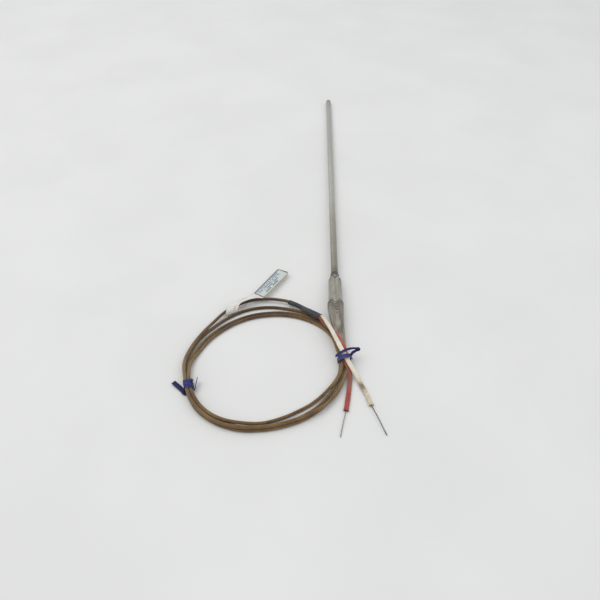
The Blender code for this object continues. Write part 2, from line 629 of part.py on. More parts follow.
def sheet(name, left, right, thick, mat, lift=0.0):
    """Strip between two edge lines, with this thickness about the lifted surface."""
    normal = unit(np.cross(tangents((left + right) / 2), right - left))
    top, bottom = (lift + thick / 2) * normal, (lift - thick / 2) * normal
    rings = np.stack([left + bottom, right + bottom, right + top, left + top], axis=1)
    loft(name, rings, None, mat, smooth=False)


def build_tag():
    left, right = on_table(EDGE_LEFT), on_table(EDGE_RIGHT)
    # the flag's four corners lie in one plane
    across = right[1] - left[1]
    right = np.insert(right, 2, left[2] + across * (TAG_W / np.linalg.norm(across)), axis=0)
    sheet("tag_strip", left, right, TAG_T, "label_strip")

    inset = (right[:3] - left[:3]) * LABEL_SIDE_INSET
    label_left, label_right = left[:3] + inset, right[:3] - inset
    for edge in (label_left, label_right):
        edge[2] += (edge[1] - edge[2]) * LABEL_LOOP_INSET
        edge[0] += (edge[1] - edge[0]) * LABEL_END_INSET
    sheet("tag_label", label_left, label_right, LABEL_T, "label_print",
          lift=TAG_T / 2 + LABEL_T / 2 + LABEL_GAP)


# ---------------------------------------------------------------- build
def main():
    clear_scene()
    for name, look in MATERIALS.items():
        make_material(name, **look)

    build_sheath()
    build_magnesia()
    build_junction_bead()
    build_thermoelement("positive", 1, "iron_wire")
    build_thermoelement("negative", -1, "constantan_wire")

    build_barrel()
    build_potting()
    build_splice("positive", 1)
    build_splice("negative", -1)
    build_front_boot()

    build_jacket()
    build_lead("positive", -1, WHITE_LINE, WHITE_WIRE, "white_glass_braid", "iron_wire")
    build_lead("negative", 1, RED_LINE, RED_WIRE, "red_glass_braid", "constantan_wire")
    build_breakout_sleeve()
    build_rear_boot()

    build_left_tie()
    build_right_tie()
    build_tag()


main()
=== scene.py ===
# A sheathed thermocouple probe with its cable coiled on a table. The tip's end is at the origin and
# the sheath runs towards -Y, rising slightly. Beyond it come the grey boots over the joint and the
# flat coil, which lies on the -X side with two twist ties and a flag label. A black sleeve on the
# cable's far end splits it into a white and a red lead, which run on towards -Y.
# Shapes are in millimetres, materials, lights and camera in metres.
import math
from itertools import combinations

import bpy
import numpy as np
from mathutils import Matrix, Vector


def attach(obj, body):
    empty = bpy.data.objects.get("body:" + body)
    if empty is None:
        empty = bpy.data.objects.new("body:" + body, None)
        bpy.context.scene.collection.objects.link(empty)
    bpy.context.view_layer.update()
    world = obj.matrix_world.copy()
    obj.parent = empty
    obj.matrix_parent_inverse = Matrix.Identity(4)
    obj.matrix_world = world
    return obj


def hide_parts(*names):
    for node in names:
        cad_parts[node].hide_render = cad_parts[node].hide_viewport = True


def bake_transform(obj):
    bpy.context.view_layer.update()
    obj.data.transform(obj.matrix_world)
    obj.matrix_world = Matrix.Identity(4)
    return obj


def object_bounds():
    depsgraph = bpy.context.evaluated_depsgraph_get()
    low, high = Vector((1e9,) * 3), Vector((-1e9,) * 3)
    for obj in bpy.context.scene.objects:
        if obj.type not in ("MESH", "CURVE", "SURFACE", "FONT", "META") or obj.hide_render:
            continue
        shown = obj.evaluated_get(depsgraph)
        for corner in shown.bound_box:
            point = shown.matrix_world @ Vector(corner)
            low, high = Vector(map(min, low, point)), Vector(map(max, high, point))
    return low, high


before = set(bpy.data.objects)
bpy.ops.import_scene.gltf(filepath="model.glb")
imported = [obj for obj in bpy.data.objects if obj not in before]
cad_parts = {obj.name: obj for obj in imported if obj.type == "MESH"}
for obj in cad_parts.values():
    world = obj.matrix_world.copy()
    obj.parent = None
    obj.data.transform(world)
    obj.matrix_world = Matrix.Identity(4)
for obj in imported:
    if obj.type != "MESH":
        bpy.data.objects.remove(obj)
cad_lo, cad_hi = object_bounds()

# ------------------------------------------------------------------ sizes
MM = 0.001
UP = np.array([0.0, 0.0, 1.0])
TABLE = 3.20                      # the table top is this far below the origin
FLOOR = cad_lo[2] / MM - 0.03
SHEATH_R = 6.35 / 2
PROBE_RISE = 4.10 / 405.0         # climb per unit of length
PROBE_SIDES = 72
CABLE_R = 1.35
BRAID_PITCH = 1.45                # cable braid; the sleeves are finer
SLEEVE_PITCH = 1.1
CABLE_CARRIERS, SLEEVE_CARRIERS = 8, 12
LAY = 2.86                        # rise of a strand that lies on another
EASED = 3.0                       # least spacing between strands
COIL_STEP = 15.0                  # degrees between stations
COIL_CENTRE = (-58.8, -474.1)
SKEW = math.radians(1.04)
SPLICE_AT, SPLICE_PITCH = 391.0, 3.60
PAIR = 0.56                       # conductor's distance from the cable's axis
SPREAD = np.array([1.18, 1.26, 1.32])  # the same, at the last stations in the black sleeve
SLEEVE_W, SLEEVE_H = 3.70, 2.10
WIRE_R = 0.33

# Heights of a strand's centre over the table: lying on it, held by a tie, on top at a tie.
LOW = CABLE_R + 0.02
TIED = LOW + 0.75
TOP = TIED + LAY

# Coil turns: (radius, height) every COIL_STEP degrees, from 0 to 360.
TURN_1 = [(62.9, 5.4), (60.7, 4.9), (57.1, 2.8), (54.9, LOW), (54.1, LOW), (55.2, LOW), (57.6, LOW),
          (60.9, 3.0), (63.4, 4.25), (64.2, TOP), (63.0, TOP), (61.4, TOP), (59.6, 3.1), (56.2, LOW),
          (54.6, LOW), (53.8, LOW), (54.2, LOW), (55.3, LOW), (56.7, LOW), (59.0, LOW), (61.3, LOW),
          (63.4, LOW), (63.9, LOW), (61.7, TIED), (61.4, TIED)]
TURN_2 = [(61.4, TIED), (60.6, LOW), (60.1, LOW), (60.0, LOW), (59.7, LOW), (59.7, LOW),
          (60.7, LOW), (62.6, LOW), (63.9, LOW), (64.3, LOW + 0.2), (63.0, TIED), (61.4, TIED),
          (62.0, LOW), (59.2, LOW), (57.4, LOW), (56.6, LOW), (57.0, LOW), (58.1, LOW), (59.5, LOW),
          (61.8, LOW), (64.1, LOW), (66.2, LOW), (66.7, LOW), (64.5, TIED), (64.2, TIED)]
TURN_3 = [(64.2, TIED), (63.4, LOW), (62.9, LOW), (62.9, LOW), (62.6, LOW), (62.6, LOW),
          (63.6, LOW), (65.5, LOW), (66.8, LOW), (67.1, LOW + 0.2), (65.8, TIED), (64.2, TIED),
          (64.8, LOW), (63.2, LOW), (62.4, LOW), (62.0, LOW), (63.8, LOW), (66.0, LOW), (67.0, LOW),
          (67.2, LOW), (68.3, LOW), (69.2, LOW), (69.6, LOW), (67.6, TIED), (67.1, TIED + 0.7)]
# The last turn is cut short: (degrees, radius, height).
TURN_4 = [(0, 67.1, TIED + 0.7), (15, 65.5, 3.4), (30, 64.9, 3.6), (45, 63.6, 4.1), (60, 62.0, 4.0),
          (75, 61.6, 4.0), (90, 62.8, 4.0), (105, 65.2, 4.0), (120, 66.9, 4.3), (135, 67.2, TOP - 0.2),
          (150, 65.8, TOP), (165, 64.2, TOP), (180, 64.7, TOP - 0.4), (195, 63.3, 4.2),
          (210, 62.8, 4.2), (225, 65.0, 3.6), (239, 70.1, 3.4), (245, 71.8, 3.4), (250, 73.6, 3.4),
          (260, 75.4, 3.4), (270, 75.8, 3.4), (283, 74.8, 3.6)]
TURNS = [np.c_[np.arange(0, 361, COIL_STEP), turn] for turn in (TURN_1, TURN_2, TURN_3)]
TURNS.append(np.array(TURN_4))

# Centre lines: (x, y, height over the table).
BOOT_LINE = [(0.0, -404.0, 7.30), (0.0, -412.0, 7.25), (0.5, -423.0, 6.9), (1.5, -434.0, 6.4),
             (3.0, -445.0, 6.25), (4.2, -454.0, 6.0), (4.6, -462.0, 5.7), (4.4, -467.0, 5.5)]
BLACK_LINE = [(-41.1, -402.4, 3.7), (-34.0, -407.0, 4.4), (-24.2, -415.3, 5.6), (-14.0, -423.7, 6.9)]
WHITE_LINE = [(-11.5, -425.2, 8.1), (-9.4, -429.8, 8.7), (-6.2, -437.3, 9.8), (-3.6, -445.6, 11.2),
              (-1.2, -453.0, 11.9), (0.9, -458.8, 11.9), (2.8, -464.2, 11.6), (5.7, -470.5, 10.8),
              (8.7, -476.8, 9.1), (12.5, -482.6, 6.0), (15.9, -488.5, 3.3), (17.9, -493.2, 2.0),
              (21.6, -501.9, 1.35), (24.9, -513.3, 1.3)]
WHITE_WIRE = [(28.5, -523.2, 1.8), (31.9, -532.6, 1.3), (34.7, -539.9, 0.6)]
RED_LINE = [(-12.7, -426.5, 5.8), (-9.9, -429.8, 5.1), (-6.6, -435.6, 6.6), (-2.8, -442.9, 8.8),
            (1.2, -450.2, 9.7), (3.3, -455.6, 9.5), (5.3, -460.0, 9.1), (6.3, -465.3, 8.6),
            (6.4, -470.8, 8.0), (6.9, -475.9, 7.1), (9.1, -480.5, 4.9), (9.9, -486.0, 2.4),
            (9.3, -492.4, 1.4), (7.8, -504.0, 1.3), (5.5, -518.7, 1.3)]
RED_WIRE = [(4.7, -522.5, 1.4), (2.8, -530.8, 1.1), (0.6, -542.2, 0.6)]

# Rear boot: (-y, half width, half height).
BOOT_HALF = [(396.0, 6.9, 6.9), (402.0, 7.15, 7.15), (409.0, 7.05, 7.0), (423.0, 6.3, 5.8),
             (434.0, 5.3, 4.1), (445.0, 4.2, 2.75), (454.0, 3.15, 2.2), (464.0, 2.25, 1.88),
             (476.0, 1.9, 1.8)]

# Probe profiles: (distance from the tip, radius).
FRONT_OUTER = [(366.0, SHEATH_R + 0.12), (366.4, SHEATH_R + 0.26), (367.6, SHEATH_R + 0.30),
               (368.8, SHEATH_R + 0.52), (369.8, 3.96), (372.0, 4.12), (373.6, 4.38), (374.8, 4.82),
               (376.0, 5.40), (377.2, 5.72), (379.0, 5.84), (388.0, 5.94), (396.0, 6.08),
               (401.0, 6.18), (407.0, 6.22), (411.0, 6.08), (414.0, 5.84), (417.0, 5.54),
               (422.0, 5.05)]
FRONT_INNER = [(366.0, SHEATH_R + 0.05), (368.8, SHEATH_R + 0.35), (369.8, 3.86), (373.4, 4.02),
               (375.4, 4.60), (377.6, 5.30), (380.0, 5.36), (386.0, 5.38), (400.0, 5.42),
               (407.0, 5.42), (411.0, 5.34), (414.0, 5.18), (417.0, 4.98), (422.0, 4.6)]
BARREL_OUTER = [(370.2, 3.70), (373.4, 3.84), (375.2, 4.30), (377.4, 5.02), (378.4, 5.16),
                (379.4, 5.20), (392.0, 5.20), (404.0, 5.20)]
BARREL_INNER = [(370.2, 3.44), (373.8, 3.46), (376.0, 3.9), (378.6, 4.42), (380.0, 4.44),
                (404.0, 4.44)]

# Ties: (outward, along, up) position, (outward, along, up) width direction whose length scales
# the width, and tone (painted shade above zero, painted highlight below).
LEFT_TIE_START = [
    (10.5, 8.7, -1.75, -0.87, 0.48, 0.0, 0.85), (8.7, 5.7, -1.95, -0.87, 0.48, 0.0, 0.8),
    (7.0, 2.9, -2.15, -0.85, 0.5, 0.05, 0.85), (5.6, 0.3, -2.35, -0.66, 0.7, 0.05, 0.9),
    (4.6, -1.9, -2.4, -0.2, 0.95, 0.05, 0.7), (3.9, -3.7, -2.5, 0.0, 1.05, 0.0, 0.7)]
LEFT_TIE_END = [
    (-3.75, 4.0, -0.4, 0.0, 0.75, 0.35, 0.5), (-3.95, 2.2, -0.6, 0.0, 0.35, 0.55, 0.7),
    (-4.0, -0.6, -0.8, 0.0, 0.0, 0.55, 0.9), (-4.0, -3.2, -1.0, 0.0, 0.0, 0.45, 0.9),
    (-3.9, -4.7, -1.1, 0.0, 0.2, 0.40, 0.9), (-4.4, -4.3, -1.0, 0.0, -0.30, 0.45, 0.7),
    (-5.6, -1.4, -0.4, 0.0, -0.50, 0.60, 0.3), (-7.0, 1.8, 0.3, 0.0, -0.55, 0.68, 0.4),
    (-8.3, 5.2, 1.0, 0.0, -0.60, 0.70, 0.5)]
RIGHT_TIE = [
    (57.5, 1.3, 7.6, 0.0, 0.7, 0.0, 0.55), (59.35, 2.3, 10.4, 0.0, 0.72, 0.0, 0.45),
    (61.2, 2.5, 12.6, 0.0, 0.72, 0.05, 0.15), (63.7, 1.4, 13.2, 0.0, 0.7, 0.15, 0.35),
    (66.1, -0.2, 12.5, 0.0, 0.62, 0.12, 0.9), (68.9, -2.0, 11.4, 0.0, 0.62, 0.10, 1.0),
    (71.9, -3.2, 10.6, 0.0, 0.62, 0.10, 1.0), (74.8, -3.4, 10.0, 0.0, 0.62, 0.08, 0.9),
    (77.3, -3.5, 9.7, 0.0, 0.55, 0.05, 0.8), (78.1, -3.2, 9.1, 0.0, 0.5, 0.1, 0.8),
    (77.2, -2.9, 8.5, 0.0, 0.6, 0.05, 0.7), (75.2, -2.8, 8.2, 0.0, 0.68, 0.05, 0.5),
    (73.2, -1.8, 8.0, 0.0, 0.75, 0.05, 0.2), (71.4, -0.5, 7.7, 0.0, 0.8, 0.05, 0.1),
    (70.3, 0.8, 6.8, 0.0, 0.85, 0.0, 0.2), (69.95, 1.6, 4.4, 0.0, 0.95, 0.0, 0.6),
    (69.7, 1.8, 1.7, 0.0, 1.0, 0.0, 0.7), (68.4, 1.9, 0.42, 0.0, 1.0, 0.0, 0.7),
    (64.3, 2.0, 0.38, 0.0, 1.0, 0.0, 0.7), (60.6, 2.2, 0.42, 0.0, 1.0, 0.0, 0.7),
    (59.35, 1.8, 1.7, 0.0, 1.0, 0.0, 0.4), (59.3, 2.5, 4.4, 0.0, 1.0, 0.0, 0.1),
    (59.6, 4.0, 7.6, 0.0, 1.05, 0.0, 0.0), (61.0, 6.0, 10.8, 0.0, 1.1, 0.0, -0.3),
    (63.6, 6.3, 12.35, 0.0, 1.1, 0.0, -0.2), (66.4, 5.6, 12.2, 0.0, 1.05, 0.0, 0.0),
    (68.5, 4.2, 10.3, 0.0, 0.95, 0.0, 0.3), (70.0, 3.4, 7.4, 0.0, 0.8, 0.0, 0.6),
    (71.0, 3.3, 5.2, 0.0, 0.6, 0.0, 0.8)]

# The label strip's long edges: (x, y, height over the table). The right edge has no third station
# here, as it is worked out from the others.
STRIP_LEFT = [(-53.5, -355.6, 2.6), (-54.2, -356.9, 2.66), (-73.8, -392.4, 4.2),
              (-79.4, -400.4, 6.2), (-84.6, -405.0, 7.9), (-90.0, -408.4, 8.3),
              (-94.4, -413.0, 7.5), (-96.2, -417.6, 4.8), (-96.2, -418.6, 1.8),
              (-95.5, -417.4, 0.5), (-92.6, -410.6, 0.42), (-88.0, -403.6, 1.6),
              (-83.6, -398.6, 3.6)]
STRIP_RIGHT = [(-45.6, -359.5, 3.55), (-45.3, -363.8, 3.91), (-72.6, -401.4, 7.0),
               (-79.6, -406.4, 8.3), (-83.4, -409.2, 8.2), (-85.3, -411.6, 6.6),
               (-85.7, -413.2, 4.2), (-85.3, -413.2, 1.8), (-84.3, -411.6, 0.5),
               (-81.3, -405.6, 0.42), (-76.8, -398.6, 1.3), (-72.0, -393.0, 2.6)]
STRIP_WIDTH = 10.6                # at that third station, before the widening
STRIP_WIDEN = (1.24, 1.18, 1.12, 1.04)  # widening of the first four stations


# ------------------------------------------------------------------ curves and profiles
def wobble(x, y, seed):
    """Smooth value noise, -1..1, on arrays."""
    x, y = np.asarray(x, float), np.asarray(y, float)
    x_cell, y_cell = np.floor(x).astype(np.int64), np.floor(y).astype(np.int64)
    x, y = x - x_cell, y - y_cell
    x, y = x * x * (3 - 2 * x), y * y * (3 - 2 * y)

    def corner(dx, dy):
        bits = ((x_cell + dx) * 374761393 + (y_cell + dy) * 668265263 + seed * 974711) & 0x7FFFFFFF
        bits = ((bits ^ (bits >> 13)) * 1274126177) & 0x7FFFFFFF
        return ((bits ^ (bits >> 16)) & 0xFFFF) / 32767.5 - 1.0

    return ((corner(0, 0) * (1 - x) + corner(1, 0) * x) * (1 - y)
            + (corner(0, 1) * (1 - x) + corner(1, 1) * x) * y)


def bell(offset, width):
    return np.exp(-(offset / width) ** 2)


def wrapped(angle):
    return np.angle(np.exp(1j * angle))


def rise(x, start, length):
    """0 to 1 over length from start; a negative length mirrors it."""
    return np.clip((x - start) / length, 0, 1)


def circle(sides):
    return np.arange(sides) * 2 * math.pi / sides


def smooth_through(keys, x):
    """Values at x (number or array) of the smooth curve through (position, value...) rows."""
    keys = np.asarray(keys, float)
    place, value = keys[:, 0], keys[:, 1:]
    slope = np.zeros_like(value)
    chord = (value[1:] - value[:-1]) / (place[1:] - place[:-1])[:, None]
    slope[0], slope[-1] = chord[0], chord[-1]
    before, after = (place[1:-1] - place[:-2])[:, None], (place[2:] - place[1:-1])[:, None]
    slope[1:-1] = (chord[:-1] * after + chord[1:] * before) / (before + after)
    single = np.ndim(x) == 0
    x = np.atleast_1d(np.asarray(x, float))
    i = np.clip(np.searchsorted(place, x) - 1, 0, len(place) - 2)
    gap = (place[i + 1] - place[i])[:, None]
    t = np.clip((x - place[i])[:, None] / gap, 0, 1)
    out = ((2 * t ** 3 - 3 * t ** 2 + 1) * value[i] + (t ** 3 - 2 * t ** 2 + t) * gap * slope[i]
           + (-2 * t ** 3 + 3 * t ** 2) * value[i + 1] + (t ** 3 - t ** 2) * gap * slope[i + 1])
    return out[0] if single else out


def arc(path):
    """Distance along a path at each of its points."""
    return np.r_[0, np.cumsum(np.linalg.norm(np.diff(path, axis=0), axis=1))]


def path_through(points, step):
    """Even resampling of (x, y, z, extra...) rows."""
    points = np.asarray(points, float)
    along = arc(points[:, :3])
    count = max(2, int(round(along[-1] / step)))
    return smooth_through(np.c_[along, points], np.linspace(0, along[-1], count + 1))


def frames(path):
    """Tangent, level side and upward directions of a path."""
    path = np.asarray(path, float)
    tangent = np.zeros_like(path)
    tangent[1:-1] = path[2:] - path[:-2]
    tangent[0], tangent[-1] = path[1] - path[0], path[-1] - path[-2]
    tangent /= np.linalg.norm(tangent, axis=1)[:, None]
    side = np.cross(tangent, UP)
    side /= np.linalg.norm(side, axis=1)[:, None]
    return tangent, side, np.cross(side, tangent)


def at_height(rows):
    """Heights over the table turned into z."""
    points = np.array(rows, float)
    points[:, 2] -= TABLE
    return points


# ------------------------------------------------------------------ meshes
def make_object(name, verts, faces, uvs, material, smooth, tone):
    """verts in mm; uvs has one (u, v) per face corner."""
    mesh = bpy.data.meshes.new(name)
    mesh.from_pydata((np.asarray(verts, float) * MM).tolist(), [], faces)
    layer = mesh.uv_layers.new(name="lay")
    layer.data.foreach_set("uv", np.asarray(uvs, np.float32).ravel())
    mesh.shade_smooth()
    mesh.set_sharp_from_angle(angle=math.radians(smooth))
    if tone is not None:
        attribute = mesh.attributes.new("tone", "FLOAT", "POINT")
        attribute.data.foreach_set("value", np.asarray(tone, np.float32))
    mesh.materials.append(material)
    ob = bpy.data.objects.new(name, mesh)
    bpy.context.scene.collection.objects.link(ob)
    return ob


def skin(name, grid, material, loop=False, v=None, u=None, smooth=50.0, tone=None):
    """Closed cross-sections (m, n, 3) joined into a surface. Its ends are capped, or with loop
    the last section is joined back to the first."""
    grid = np.asarray(grid, float)
    m, n = grid.shape[:2]
    if tone is not None:
        tone = np.broadcast_to(tone, (m, n)).ravel()
        if not loop:
            tone = np.r_[tone, tone[0], tone[-1]]
    if v is None:
        v = arc(grid.mean(1))
    if u is None:
        u = np.arange(n + 1) / n
    v = np.r_[v, v[-1] + 1.0]
    verts = grid.reshape(-1, 3)
    i, j = np.meshgrid(np.arange(m if loop else m - 1), np.arange(n), indexing="ij")
    next_i, next_j = (i + 1) % m, (j + 1) % n
    faces = np.stack([i * n + j, i * n + next_j, next_i * n + next_j, next_i * n + j],
                     -1).reshape(-1, 4)
    uvs = np.stack([np.stack([u[j], v[i]], -1), np.stack([u[j + 1], v[i]], -1),
                    np.stack([u[j + 1], v[i + 1]], -1), np.stack([u[j], v[i + 1]], -1)],
                   2).reshape(-1, 4, 2)
    # The first face tells whether all of them face outwards.
    corner, across, onward = verts[faces[0][0]], verts[faces[0][1]], verts[faces[0][3]]
    normal = np.cross(across - corner, onward - corner)
    outward = np.dot(normal, corner - grid[0].mean(0)) > 0
    if not outward:
        faces, uvs = faces[:, ::-1], uvs[:, ::-1]
    faces, uvs, verts = faces.tolist(), uvs.reshape(-1, 2).tolist(), verts.tolist()
    if not loop:
        for row, at_start in ((0, True), (m - 1, False)):
            centre = len(verts)
            verts.append(grid[row].mean(0).tolist())
            for k in range(n):
                face = [row * n + k, row * n + (k + 1) % n, centre]
                faces.append(face[::-1] if at_start == outward else face)
                uvs += [[0.5, v[row]]] * 3
    return make_object(name, verts, faces, uvs, material, smooth, tone)


def hollow(name, outer, inner, material, smooth=50.0, tone=None):
    """Open-ended tube wall from an outer and an inner set of sections."""
    v = np.r_[arc(outer.mean(1)), arc(inner.mean(1))[::-1]]
    # The inner wall gets a fixed tone: painted shade inside the tube.
    if tone is not None:
        tone = np.concatenate([tone, np.full(inner.shape[:2], 0.6)])
    return skin(name, np.concatenate([outer, inner[::-1]]), material, loop=True, v=v,
                smooth=smooth, tone=tone)


def sections(path, side, up, x, y):
    return path[:, None] + x[..., None] * side[:, None] + y[..., None] * up[:, None]


def rings(path, half_w, half_h, sides, relief=None):
    """Elliptical sections round a path; relief(angle, along) is added to the radius."""
    _, side, up = frames(path)
    angle = circle(sides)[None, :]
    half_w = np.broadcast_to(np.asarray(half_w, float), (len(path),))[:, None]
    half_h = np.broadcast_to(np.asarray(half_h, float), (len(path),))[:, None]
    extra = relief(angle, arc(path)[:, None]) if relief is not None else 0.0
    return sections(path, side, up, np.cos(angle) * (half_w + extra),
                    np.sin(angle) * (half_h + extra))


def braid_relief(carriers, pitch, depth, lump):
    def relief(angle, along):
        right = angle / (2 * math.pi) * carriers + along / pitch
        left = angle / (2 * math.pi) * carriers - along / pitch
        weave = depth * np.cos(2 * math.pi * right) * np.cos(2 * math.pi * left) * 0.5
        return weave + lump * wobble(angle / math.pi * 2, along / 3.5, 21)
    return relief


def stand_in(ob, replaced, body):
    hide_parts(replaced)
    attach(ob, body)


# ------------------------------------------------------------------ material helpers
class Material:
    """A Principled material, with short calls for the nodes that feed it."""

    SOCKETS = {"color": "Base Color", "rough": "Roughness", "metal": "Metallic",
               "sheen": "Sheen Weight", "coat": "Coat Weight", "spec": "Specular IOR Level",
               "sub": "Subsurface Weight", "aniso": "Anisotropic", "coat_rough": "Coat Roughness"}

    def __init__(self, name):
        self.material = bpy.data.materials.new(name)
        self.material.use_nodes = True
        self.tree = self.material.node_tree
        self.principled = self.tree.nodes["Principled BSDF"]
        self.position = self.node("ShaderNodeTexCoord").outputs["Object"]

    def node(self, kind, **props):
        node = self.tree.nodes.new(kind)
        for key, value in props.items():
            setattr(node, key, value)
        return node

    def put(self, socket, value):
        """Link a socket, or set a number or an RGB colour."""
        if isinstance(value, bpy.types.NodeSocket):
            self.tree.links.new(value, socket)
        elif isinstance(value, tuple):
            socket.default_value = (*value, 1.0)
        else:
            socket.default_value = value

    def split(self, vector):
        node = self.node("ShaderNodeSeparateXYZ")
        self.put(node.inputs[0], vector)
        return tuple(node.outputs)

    def uv(self):
        return self.split(self.node("ShaderNodeUVMap", uv_map="lay").outputs["UV"])[:2]

    def xyz(self):
        return self.split(self.position)

    def math(self, operation, a, b=0.0, clamp=False):
        node = self.node("ShaderNodeMath", operation=operation, use_clamp=clamp)
        self.put(node.inputs[0], a)
        self.put(node.inputs[1], b)
        return node.outputs[0]

    def add(self, a, b):
        return self.math("ADD", a, b)

    def sub(self, a, b):
        return self.math("SUBTRACT", a, b)

    def mul(self, a, b):
        return self.math("MULTIPLY", a, b)

    def between(self, value, low, high):
        return self.mul(self.math("GREATER_THAN", value, low), self.math("LESS_THAN", value, high))

    def noise(self, scale, detail=3.0, rough=0.6, stretch=None):
        node = self.node("ShaderNodeTexNoise")
        source = self.position
        if stretch:
            mapping = self.node("ShaderNodeMapping")
            mapping.inputs["Scale"].default_value = stretch
            self.put(mapping.inputs["Vector"], source)
            source = mapping.outputs["Vector"]
        self.put(node.inputs["Vector"], source)
        self.put(node.inputs["Scale"], scale)
        self.put(node.inputs["Detail"], detail)
        self.put(node.inputs["Roughness"], rough)
        return node.outputs["Fac"]

    def ramp(self, factor, stops):
        node = self.node("ShaderNodeValToRGB")
        elements = node.color_ramp.elements
        while len(elements) < len(stops):
            elements.new(0.5)
        for element, (position, color) in zip(elements, stops):
            element.position = position
            element.color = (*color, 1.0)
        self.put(node.inputs[0], factor)
        return node.outputs[0]

    def mix(self, factor, a, b, mode="MIX"):
        node = self.node("ShaderNodeMix", data_type="RGBA", blend_type=mode)
        for index, value in ((0, factor), (6, a), (7, b)):
            self.put(node.inputs[index], value)
        return node.outputs[2]

    def span(self, value, start, end, low=0.0, high=1.0, kind="SMOOTHSTEP"):
        """low to high while value goes from start to end."""
        node = self.node("ShaderNodeMapRange", clamp=True, interpolation_type=kind)
        for index, number in enumerate((value, start, end, low, high)):
            self.put(node.inputs[index], number)
        return node.outputs[0]

    def toned(self, color, dark, light):
        """Darker or lighter where the mesh's tone is above or below zero."""
        tone = self.node("ShaderNodeAttribute", attribute_name="tone").outputs["Fac"]
        uneven = self.mul(self.sub(self.noise(700.0, detail=4.0), 0.5), 0.35)
        darken = self.math("MULTIPLY", tone, self.add(1.0, uneven), clamp=True)
        lighten = self.math("MULTIPLY", tone, self.sub(-1.0, uneven), clamp=True)
        return self.mix(lighten, self.mix(darken, color, dark), light)

    def bump(self, height, distance, strength=1.0):
        node = self.node("ShaderNodeBump")
        node.inputs["Strength"].default_value = strength
        node.inputs["Distance"].default_value = distance
        self.put(node.inputs["Height"], height)
        self.put(self.principled.inputs["Normal"], node.outputs[0])

    def finish(self, **values):
        for key, value in values.items():
            self.put(self.principled.inputs[self.SOCKETS[key]], value)
        return self.material


def rgb(*color):
    """Linear colour from 0..255 sRGB."""
    return tuple((c / 255 / 12.92) if c / 255 <= 0.04045 else ((c / 255 + 0.055) / 1.055) ** 2.4
                 for c in color)


# ------------------------------------------------------------------ material families
def braid_mat(name, light, mid, dark, carriers, pitch, stain_and_shade, depth, contrast, sheen):
    """Over-and-under braid from the tube's own coordinates (u round, v along in mm)."""
    mat = Material(name)
    u, v = mat.uv()
    turn, advance = mat.mul(u, float(carriers)), mat.math("DIVIDE", v, pitch)
    right, left = mat.add(turn, advance), mat.sub(turn, advance)

    def sine(value, frequency):
        return mat.math("SINE", mat.mul(value, frequency))

    right_hump = mat.math("ABSOLUTE", sine(right, math.pi))
    left_hump = mat.math("ABSOLUTE", sine(left, math.pi))
    cell = mat.add(mat.math("FLOOR", right), mat.math("FLOOR", left))
    parity = mat.math("MODULO", mat.math("ABSOLUTE", cell), 2.0)
    over = mat.math("GREATER_THAN", parity, 0.5)
    weave = mat.add(mat.mul(right_hump, over), mat.mul(left_hump, mat.sub(1.0, over)))
    # Yarn filaments across each strand.
    filaments = mat.mul(mat.add(sine(right, math.pi * 9), sine(left, math.pi * 9)), 0.06)
    height = mat.add(mat.math("POWER", weave, 0.6), filaments)
    # The weave's height sets the colour: painted shade in the dips between the yarns.
    tone = mat.add(mat.mul(height, 0.62 * contrast), mat.mul(mat.noise(1500.0), 0.55))
    mottle = mat.sub(mat.noise(70.0, detail=4.0), 0.5)
    tone = mat.add(tone, mat.mul(mottle, 0.9))
    color = mat.ramp(mat.sub(tone, 0.12), [(0.12, dark), (0.5, mid), (0.88, light)])
    mat.bump(height, depth)
    return mat.finish(color=stain_and_shade(mat, color), rough=0.8, sheen=sheen, spec=0.3)


def shrink_mat(name, light, mid, dark, fold_scale, rough, depth, stain_and_shade=None):
    """Heat-shrink tube: long fine wrinkles, dusty mottling, satin."""
    mat = Material(name)
    wrinkles = mat.noise(300.0, detail=5.0, stretch=(fold_scale, 0.12, fold_scale))
    mottle = mat.noise(120.0, detail=6.0, rough=0.7)
    grain = mat.noise(1800.0)
    # The wrinkles darken the colour in their dips: painted shade.
    tone = mat.add(mat.mul(wrinkles, 0.55), mat.add(mat.mul(mottle, 0.45), mat.mul(grain, 0.12)))
    color = mat.ramp(tone, [(0.34, dark), (0.55, mid), (0.8, light)])
    mat.bump(mat.add(wrinkles, mat.mul(grain, 0.15)), depth, strength=0.8)
    # The mesh's tone darkens or lightens the colour; most of it is painted shade and painted
    # highlight.
    color = mat.toned(color, tuple(c * 0.30 for c in dark), tuple(min(1.0, c * 1.28) for c in light))
    if stain_and_shade:
        color = stain_and_shade(mat, color)
    return mat.finish(color=color, rough=rough, spec=0.4, sheen=0.15)


def metal_mat(name, dark, light, rough, metal=1.0, scale=500.0):
    mat = Material(name)
    grain = mat.noise(scale, detail=5.0, rough=0.65)
    mat.bump(grain, 0.00003, strength=0.6)
    return mat.finish(color=mat.mix(mat.span(grain, 0.3, 0.7), dark, light), metal=metal,
                      rough=mat.span(grain, 0.2, 0.8, rough - 0.06, rough + 0.1))


def powder_mat(name, dark, light, scale, rough=0.9):
    mat = Material(name)
    grain = mat.noise(scale, detail=7.0, rough=0.7)
    mat.bump(grain, 0.00006, strength=0.8)
    return mat.finish(color=mat.mix(mat.span(grain, 0.3, 0.7), dark, light), rough=rough, spec=0.2)


# ------------------------------------------------------------------ stains and painted shade, placed in metres
def boot_tail(mat, color):
    """Darker towards the cable end."""
    _, y, _ = mat.xyz()
    return mat.mix(mat.span(y, -0.478, -0.462, 1.0, 0.0), color, rgb(88, 84, 66))


